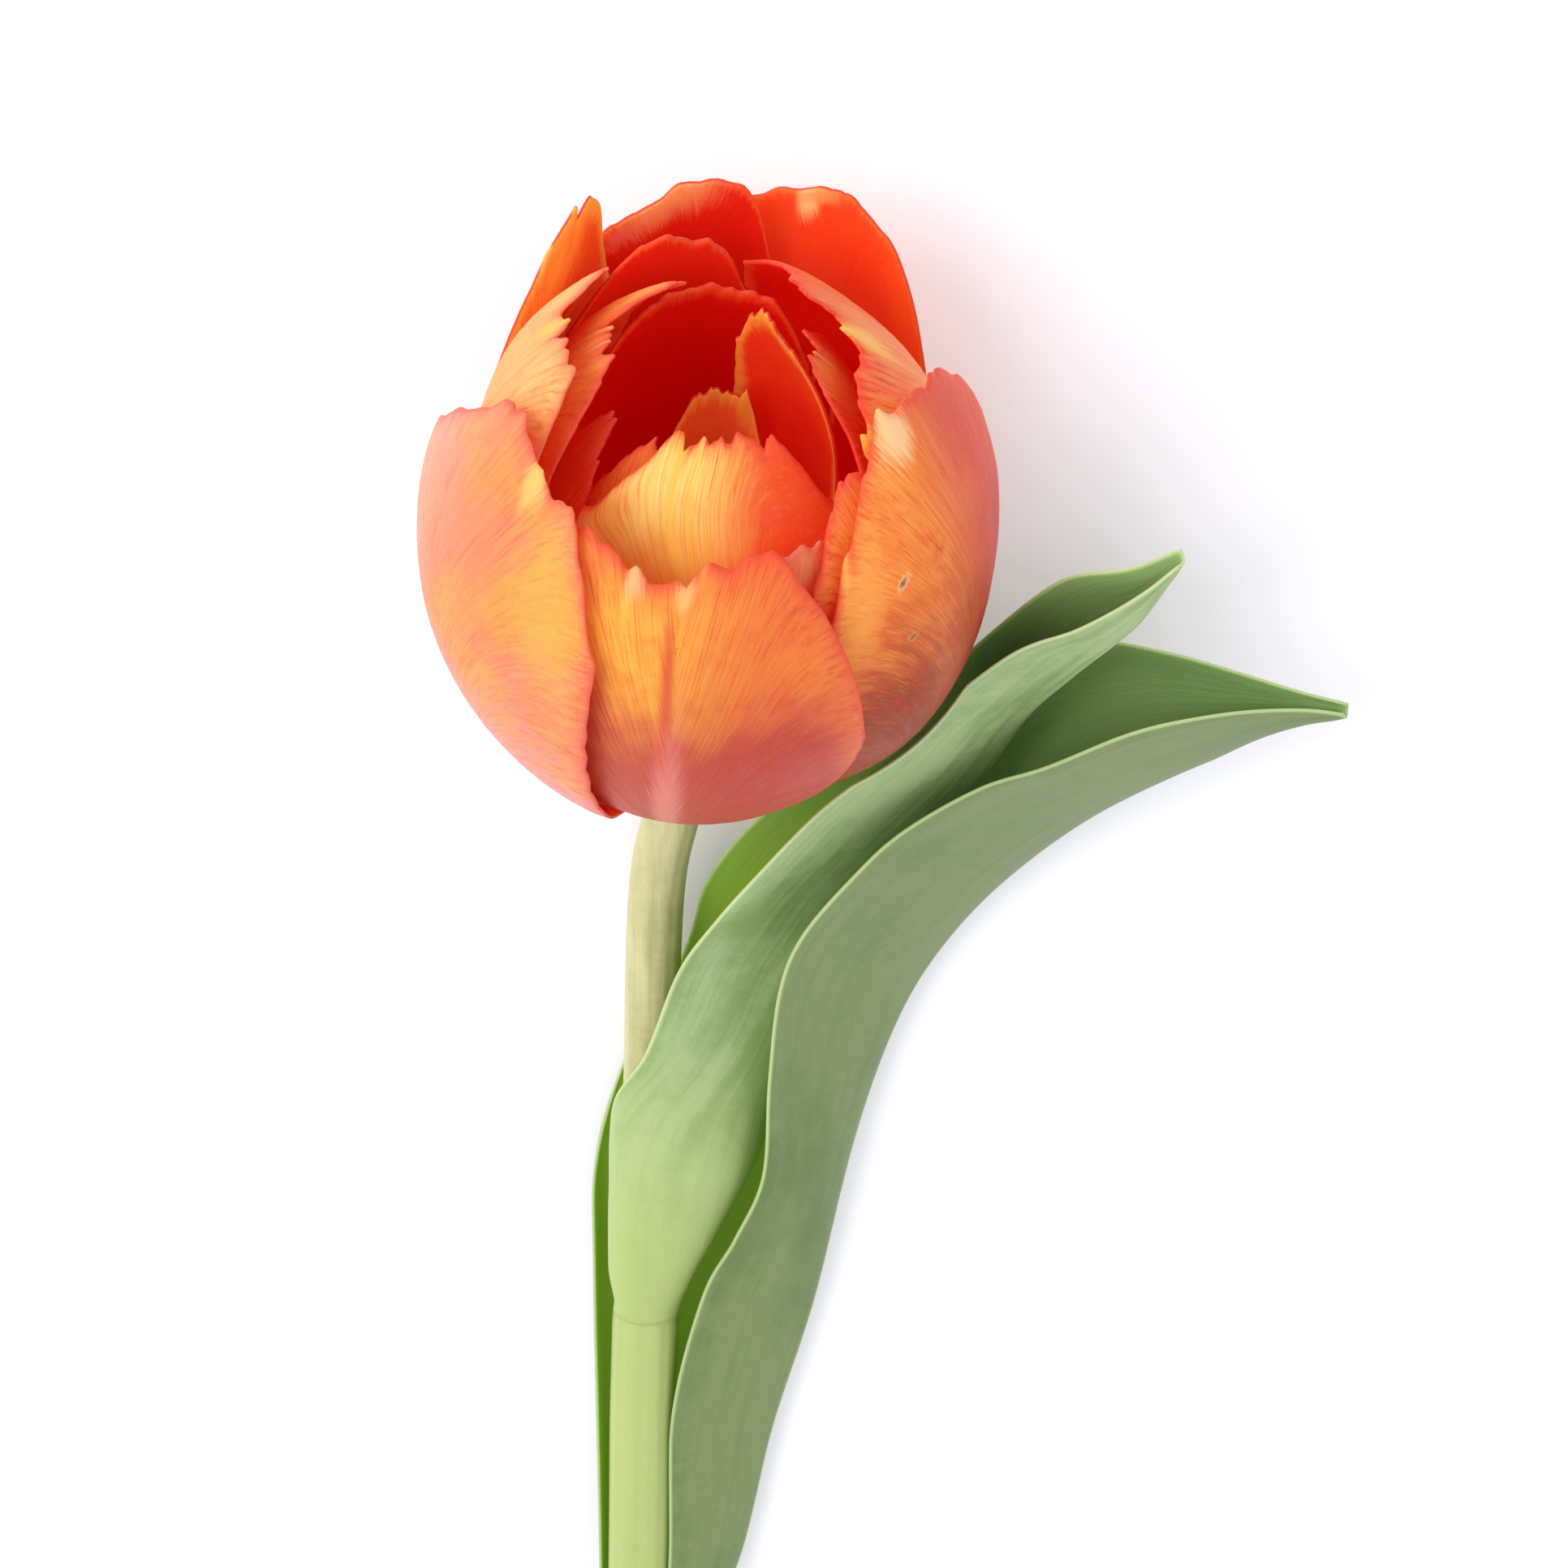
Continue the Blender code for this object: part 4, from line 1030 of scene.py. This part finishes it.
# %% Stamen tree
def stamen_tree():
    """Sweeps one stamen along a line and repeats it in a ring that leans outwards."""
    board, given = shape_tree("ring of stamens", "Line", {
        "Ring": 0.00475, "Lean": 0.07, "Furrow": 0.25}, {"Count": 6, "Sides": 24, "Seed": 3},
        "Stamens")

    def furrow(turn):
        return board.times(board.math("COSINE", board.times(turn, 2.0)), given["Furrow"])

    curve = board.first("GeometryNodeMeshToCurve", {"Mesh": given["Line"]})
    one = board.swept(curve, given["Sides"], furrow)
    share = board.math("DIVIDE", board.plus(board.first("GeometryNodeInputIndex"), 0.5),
                       given["Count"])
    around = board.times(share, 2 * math.pi)
    spot = board.joined(board.times(board.math("COSINE", around), given["Ring"]),
                        board.times(board.math("SINE", around), given["Ring"]), 0.0)
    points = board.first("GeometryNodePoints", {"Count": given["Count"], "Position": spot})
    change = board.node("FunctionNodeRandomValue", {
        "Min": -0.01, "Max": 0.01, "Seed": given["Seed"]}, data_type="FLOAT").outputs[1]
    placed = board.first("GeometryNodeInstanceOnPoints", {
        "Points": points, "Instance": one,
        "Rotation": board.joined(0.0, board.plus(given["Lean"], change), around)})
    return board.finish("Stamens", placed, given["Material"])


# %% Pistil and stamen tables
# A share of a stamen's height and its radius there; a height and a share of the pistil's radius
STAMEN_LINE = ((0.0, 0.7), (0.30, 0.68), (0.46, 0.66), (0.52, 1.0), (0.60, 1.15), (0.75, 1.12),
               (0.90, 1.0), (0.97, 0.7), (1.0, 0.35))
STAMEN_HEIGHT = 29.7
STAMEN_STEPS = 60
STAMEN_RING = 4.75
PISTIL_LINE = ((0.0, 0.85), (3.0, 1.0), (8.0, 1.05), (14.0, 0.98), (19.0, 0.85), (22.0, 0.9),
               (24.0, 1.22), (26.0, 1.15), (27.0, 0.55))
PISTIL_RADIUS = 2.75     # a radius of 1 in the pistil's table
PISTIL_BASE = 19.35      # height of both on the head's axis


def plain_material(name, low, high, roughness):
    """Two shades of one colour, mixed by a fine noise in Object coordinates."""
    material, board = new_material(name)
    grain = board.noise(place_on(board), 900.0, 3.0, 0.6)
    shade = board.blend(board.soft(grain, 0.35, 0.65), srgb(low), srgb(high))
    coat(board, grain, 0.5, 0.0002, {"Base Color": shade, "Roughness": roughness})
    return material


def stamen_line():
    """One upright stamen as a line with a girth at each point."""
    share, radii = np.array(STAMEN_LINE).T
    steps = np.linspace(0.0, 1.0, STAMEN_STEPS)
    line = np.outer(steps, (0.0, 0.0, STAMEN_HEIGHT))
    return line_mesh("stamens", line, np.interp(steps, share, radii))


def pistil_line():
    climb, radii = np.array(PISTIL_LINE).T
    return line_mesh("pistil", np.outer(climb, (0.0, 0.0, 1.0)), PISTIL_RADIUS * radii)


def into_place(mesh):
    """Turn a mesh that was made upright into the head's own axes, where the flower has it."""
    lift = np.array([0.0, 0.0, PISTIL_BASE])
    move_points(mesh, lambda points: from_head(points / MM + lift) * MM)
    mesh.flip_normals()      # the head's axes mirror a mesh, so its faces are turned outwards again
    return mesh


# %% Grow the pistil and the stamens
stamens = run_tree("stamens", stamen_line(), stamen_tree(), {
    "Count": 6, "Ring": STAMEN_RING * MM, "Lean": math.radians(4.0), "Furrow": 0.25, "Sides": 24,
    "Seed": 3, "Material": plain_material("stamens", "3c2a20", "6a4a22", 0.85)})
show("stamen_ring", into_place(stamens), "stamen", ["stamen_%d" % k for k in range(1, 7)])
pistil = run_tree("pistil", pistil_line(), SWEEP, {
    "Sides": 48, "Ridges": 3.0, "Ridge Height": 0.07,
    "Material": plain_material("pistil", "9fae58", "c6c878", 0.5)})
show("pistil_flesh", into_place(pistil), "pistil", ["pistil"])
print("stamen and pistil faces:", len(stamens.polygons) + len(pistil.polygons))

# %% [markdown]
# ## The leaves
#
# Each leaf is drawn by a few lines that run from its foot to its tip.  Near its foot it goes round
# the stem, so there the lines are joined round the stem's axis, and above they are joined straight
# across.  The finished sheet is pushed clear of the stem and of the flower head.

# %% Leaf lines
GAP = 0.3
LEAF_THICKNESS = 0.9
LEAF_TIP_TAPER = 0.45
SHEATH_SLACK = 0.10
LEAF_GRID = (56, 220)
FOOT_SINK = 0.95         # how deep the foot of the upper leaf is grown into the stem
FOOT_SHARE = 0.05        # and over how much of the leaf's length
HEAD_GAP = 2.0           # between a leaf's middle and the bowl of the outer petals
UPPER_LEAF = {
    "grown": True,
    "opens": (-62.0, -34.0),
    "lines": (
        ((-11.6, -88.0, 7.5), (-11.0, -68.0, 8.0), (-10.4, -54.0, 10.0), (-5.8, -44.5, 13.4),
         (-1.1, -31.1, 15.5), (4.0, -22.0, 19.0), (10.0, -12.5, 24.0), (17.3, -1.8, 29.5),
         (24.5, 7.0, 35.0), (30.5, 15.0, 39.0), (41.0, 25.5, 43.0), (49.2, 29.7, 45.0),
         (56.5, 34.6, 46.8), (60.2, 37.8, 47.4)),
        ((-1.8, -88.5, 5.4), (-0.2, -82.0, 5.2), (3.6, -75.0, 5.2), (9.4, -63.0, 6.4),
         (13.6, -48.0, 7.6), (18.6, -33.0, 8.6), (25.0, -20.3, 10.2), (32.0, -11.0, 13.0),
         (39.0, -2.0, 17.0), (44.6, 9.6, 23.0), (49.8, 17.6, 29.0), (54.4, 24.3, 35.0),
         (58.9, 31.8, 41.4), (61.8, 38.6, 45.6)),
        ((-11.2, -88.0, 4.4), (-10.4, -68.0, 4.4), (-6.2, -50.1, 2.4), (0.0, -31.5, 4.0),
         (2.6, -22.0, 6.0), (8.0, -13.5, 7.5), (17.0, -4.6, 9.0), (27.6, 6.4, 14.0),
         (34.5, 14.7, 21.0), (38.3, 21.8, 28.0), (46.6, 33.1, 38.0), (54.0, 37.6, 43.0),
         (58.8, 40.4, 44.4), (61.2, 41.2, 44.8)),
    ),
}
LOWER_LEAF = {
    "grown": False,
    "opens": (-150.0, -110.0),
    "lines": (
        ((-6.0, -152.0, 11.2), (-3.8, -131.4, 9.9), (-3.0, -105.0, 11.0), (1.6, -83.7, 12.8),
         (6.3, -73.3, 14.2), (10.3, -62.0, 16.6), (11.2, -46.0, 19.0), (12.6, -31.0, 22.0),
         (15.6, -21.5, 24.5), (22.2, -11.5, 27.5), (28.5, -4.2, 29.5), (38.2, 2.6, 31.0),
         (46.8, 5.7, 31.2), (58.1, 10.5, 31.0), (68.4, 12.3, 30.0), (79.0, 12.0, 28.0),
         (84.6, 11.0, 27.4)),
        ((-3.4, -152.5, 5.9), (5.6, -136.0, 3.4), (11.2, -111.0, 3.4), (17.2, -89.5, 3.4),
         (22.9, -63.0, 3.4), (28.4, -45.0, 3.6), (34.4, -33.0, 4.2), (43.0, -21.5, 6.2),
         (55.2, -9.2, 11.0), (70.2, 2.0, 18.2), (80.0, 7.0, 23.0), (85.8, 9.4, 25.2)),
        ((-8.6, -153.0, 0.6), (-5.0, -136.0, 0.45), (-1.5, -111.0, 0.45), (3.0, -89.0, 0.45),
         (9.0, -63.0, 0.45), (15.0, -44.0, 0.6), (22.0, -31.0, 1.2), (31.0, -17.0, 3.2),
         (43.0, -3.5, 8.0), (58.0, 8.0, 15.0), (72.0, 11.0, 20.6), (81.5, 11.8, 23.8),
         (86.2, 11.2, 24.4)),
        ((-12.8, -152.5, 2.4), (-12.0, -136.0, 1.0), (-12.0, -111.0, 0.8), (-11.8, -89.0, 0.7),
         (-10.6, -66.0, 0.6), (-4.6, -49.0, 0.5), (4.0, -35.0, 0.6), (12.0, -22.0, 1.4),
         (20.0, -12.0, 3.2), (31.0, -2.0, 6.4), (43.0, 8.0, 10.8), (57.0, 13.6, 16.0),
         (70.0, 14.4, 21.2), (80.0, 13.4, 24.0), (86.0, 12.4, 25.0)),
        ((-14.0, -152.0, 6.4), (-14.0, -120.0, 6.0), (-14.0, -82.5, 5.4), (-13.4, -66.0, 3.6),
         (-8.6, -50.0, 1.2), (-1.0, -36.0, 0.9), (7.5, -22.0, 2.2), (16.8, -8.2, 4.6),
         (28.2, 3.8, 7.6), (36.4, 13.4, 11.5), (45.4, 17.2, 14.7), (55.3, 17.9, 17.9),
         (63.9, 17.2, 20.9), (74.1, 15.9, 23.8), (81.3, 14.2, 25.4), (85.0, 13.2, 26.2)),
    ),
}


# %% Leaf sheets
def polar_section(edges, axis, across, clear):
    """Points across a leaf that go round the stem's axis instead of straight from line to line."""
    from_axis = [edge - axis for edge in edges]
    angles = []
    for spot in from_axis:
        angle = np.arctan2(spot[..., 2], spot[..., 0])
        if angles:
            angle = np.where(angle > angles[-1], angle - 2 * np.pi, angle)
        else:
            angle = np.where(angle < -np.pi / 2, angle + 2 * np.pi, angle)
        angles.append(angle)
    radii = [np.maximum(np.hypot(spot[..., 0], spot[..., 2]), clear) for spot in from_axis]
    angle = spline(np.stack(angles), across)
    radius = np.maximum(1 / spline(1 / np.stack(radii), across), clear)
    reach = spline(np.stack([spot[..., 1] for spot in from_axis]), across)
    return axis + np.stack([radius * np.cos(angle), reach, radius * np.sin(angle)], axis=-1)


def push_clear(sheet, line, radius):
    """Move the points of a blade out to a radius round a line of points."""
    flat = sheet.reshape(-1, 3)
    steps = flat[:, None, :] - line[None, :, :]
    near = np.argmin(np.sum(steps ** 2, axis=2), axis=1)
    away = flat - line[near]
    distance = np.linalg.norm(away, axis=1)
    short = np.maximum(radius[near] - distance, 0.0)
    flat = flat + away / np.maximum(distance, 0.01)[:, None] * short[:, None]
    return flat.reshape(sheet.shape)


def push_off_head(sheet):
    """Move the points of a leaf out of the flower head."""
    outer = PETALS[0]
    local = into_head(sheet)
    radius = np.hypot(local[..., 0], local[..., 1])
    height = np.clip(local[..., 2], 0.0, outer.rise)
    wanted = bowl_radius(height, 0, outer.shoulder, outer.mouth, outer.rise) + HEAD_GAP
    wanted = np.where(local[..., 2] < -3.0, 0.0, wanted)
    local[..., :2] *= np.maximum(wanted / np.maximum(radius, 0.1), 1.0)[..., None]
    return from_head(local)


def leaf_sheet(leaf, floor):
    """A leaf's middle surface and its numbers: millimetres across and along."""
    across, along = LEAF_GRID
    line = stem_line(300)
    clear = stem_radii(line) + GAP + LEAF_THICKNESS / 2 + SHEATH_SLACK
    edges = np.stack([path(from_table(edge), along + 1) for edge in leaf["lines"]])
    share, climb = np.linspace(0, 1, across + 1), np.linspace(0, 1, along + 1)
    open_sheet = spline(edges, share)
    reach = edges[..., 1].mean(axis=0)
    axis = np.stack([np.interp(reach, line[:, 1], line[:, k]) for k in range(3)], axis=-1)
    closed_sheet = polar_section(edges, axis, share, np.interp(reach, line[:, 1], clear))
    opened = ease(reach - HEAD_BASE[1], *leaf["opens"])[None, :, None]
    sheet = closed_sheet + (open_sheet - closed_sheet) * opened
    narrowing = 1.0 - LEAF_TIP_TAPER * ease(climb, 0.9, 1.0)
    middle = sheet.mean(axis=0)
    sheet = np.swapaxes(middle + (sheet - middle) * narrowing[:, None], 0, 1)
    sheet = push_off_head(push_clear(sheet, line, clear))
    if leaf["grown"]:
        sink = FOOT_SINK * (1.0 - ease(climb, 0.0, FOOT_SHARE))[:, None, None]
        inward = axis[:, None] - sheet
        sheet = sheet + sink * inward / np.linalg.norm(inward, axis=2, keepdims=True)
    sheet[..., 2] = np.maximum(sheet[..., 2], floor)
    u, v = np.meshgrid(2 * share - 1, climb)
    return sheet, u, v, np.stack([u * 18.0, v * 200.0, 0 * u], axis=-1)


# %% Grow the leaves
LEAF_LOOKS = {
    "leaf_upper": dict(
        wax="aec38c", green="7f9c58", inner="8fab70", deep="7da030", margin="ccd9a4", foot="b4c474",
        rubbed=0.7, vein_count=1.5, rim_width=0.6, foot_start=0.36, foot_end=0.03, deep_start=0.75,
        deep_end=0.4),
    "leaf_lower": dict(
        wax="82925f", green="5f7b3c", inner="8fab70", deep="80a52c", margin="c0cf98", foot="a4b57e",
        rubbed=0.7, vein_count=1.5, rim_width=0.6, foot_start=0.10, foot_end=-0.1, deep_start=0.8,
        deep_end=0.45),
}
LEAF_BLADE = {"Thickness": 0.00085, "Rim Thickness": 0.00035, "Rim Width": 2.0,
              "Vein Height": 0.00008, "Vein Count": 1.4, "Vein Length": 0.02, "Seed": 4.0}


def grow_leaf(name, leaf, floor):
    sheet = sheet_mesh(name, *leaf_sheet(leaf, floor))
    mesh = run_tree(name, sheet, BLADE, {
        **LEAF_BLADE, "Material": green_material(name, LEAF_LOOKS[name], blade=True)})
    return show(name + "_blade", mesh, "leaf", [name])


leaf_pieces = [grow_leaf("leaf_lower", LOWER_LEAF, LEAF_THICKNESS / 2),
               grow_leaf("leaf_upper", UPPER_LEAF, 1.5 * LEAF_THICKNESS + 2 * GAP)]
print("leaf faces:", sum(len(piece.data.polygons) for piece in leaf_pieces))

# %% [markdown]
# ## The floor, the light and the camera
#
# The flower lies on a plain pale floor in soft light from the upper left.  The camera stands above
# and beyond the tip of the head and looks down, a little back towards the stem.  Its lens is a
# longer one, so the head is large and isn't distorted.

# %% Floor
FLOOR_REACH = 4.0        # metres to each side
FLOOR_SHINE = 0.18       # the photograph's floor shows almost no shadow
corners = [(x * FLOOR_REACH, y * FLOOR_REACH, 0.0)
           for x, y in ((-1, -1), (1, -1), (1, 1), (-1, 1))]
floor_mesh = bpy.data.meshes.new("floor")
floor_mesh.from_pydata(corners, [], [(0, 1, 2, 3)])
floor = bpy.data.objects.new("floor", floor_mesh)
bpy.context.scene.collection.objects.link(floor)
paper = new_material("pale_paper")[0]
for key, value in (("Base Color", srgb("f3f2f7")), ("Roughness", 0.8),
                   ("Emission Color", (1.0, 1.0, 1.0, 1.0)), ("Emission Strength", FLOOR_SHINE)):
    paper.node_tree.nodes["Principled BSDF"].inputs[key].default_value = value
floor_mesh.materials.append(paper)

# %% Lights
SKY_COLOUR = (0.93, 0.95, 1.0, 1.0)
SKY_STRENGTH = 0.88
bpy.context.scene.view_settings.view_transform = "Standard"
world = bpy.data.worlds.new("soft_room")
bpy.context.scene.world = world
world.use_nodes = True
world.node_tree.nodes["Background"].inputs["Color"].default_value = SKY_COLOUR
world.node_tree.nodes["Background"].inputs["Strength"].default_value = SKY_STRENGTH


def soft_light(name, place, target, size, power):
    """A round lamp of a size in metres and a power in watts, aimed at a target."""
    data = bpy.data.lights.new(name, "AREA")
    data.shape = "DISK"
    data.size = size
    data.energy = power
    lamp = bpy.data.objects.new(name, data)
    lamp.location = place
    aim = Vector(target) - Vector(place)
    lamp.rotation_euler = aim.to_track_quat("-Z", "Y").to_euler()
    bpy.context.scene.collection.objects.link(lamp)


# A lamp's name, place, size in metres and power in watts
LAMPS = (("window", (-0.8, 0.55, 0.95), 0.9, 8.0), ("fill", (0.7, -0.6, 0.9), 1.2, 1.5))
HEAD_MIDDLE = tuple(from_head(np.array([0.0, 0.0, 40.0])) * MM)
for name, place, size, power in LAMPS:
    soft_light(name, place, HEAD_MIDDLE, size, power)

# %% Camera
CAMERA_PLACE = (-0.01382, 0.29081, 0.46755)
CAMERA_TILT = math.radians(23.0)
camera_data = bpy.data.cameras.new("camera")
camera_data.lens = 85.0
camera_data.sensor_width = 36.0
camera = bpy.data.objects.new("camera", camera_data)
camera.location = CAMERA_PLACE
camera.rotation_euler = (-CAMERA_TILT, 0.0, 0.0)
bpy.context.scene.collection.objects.link(camera)
bpy.context.scene.camera = camera
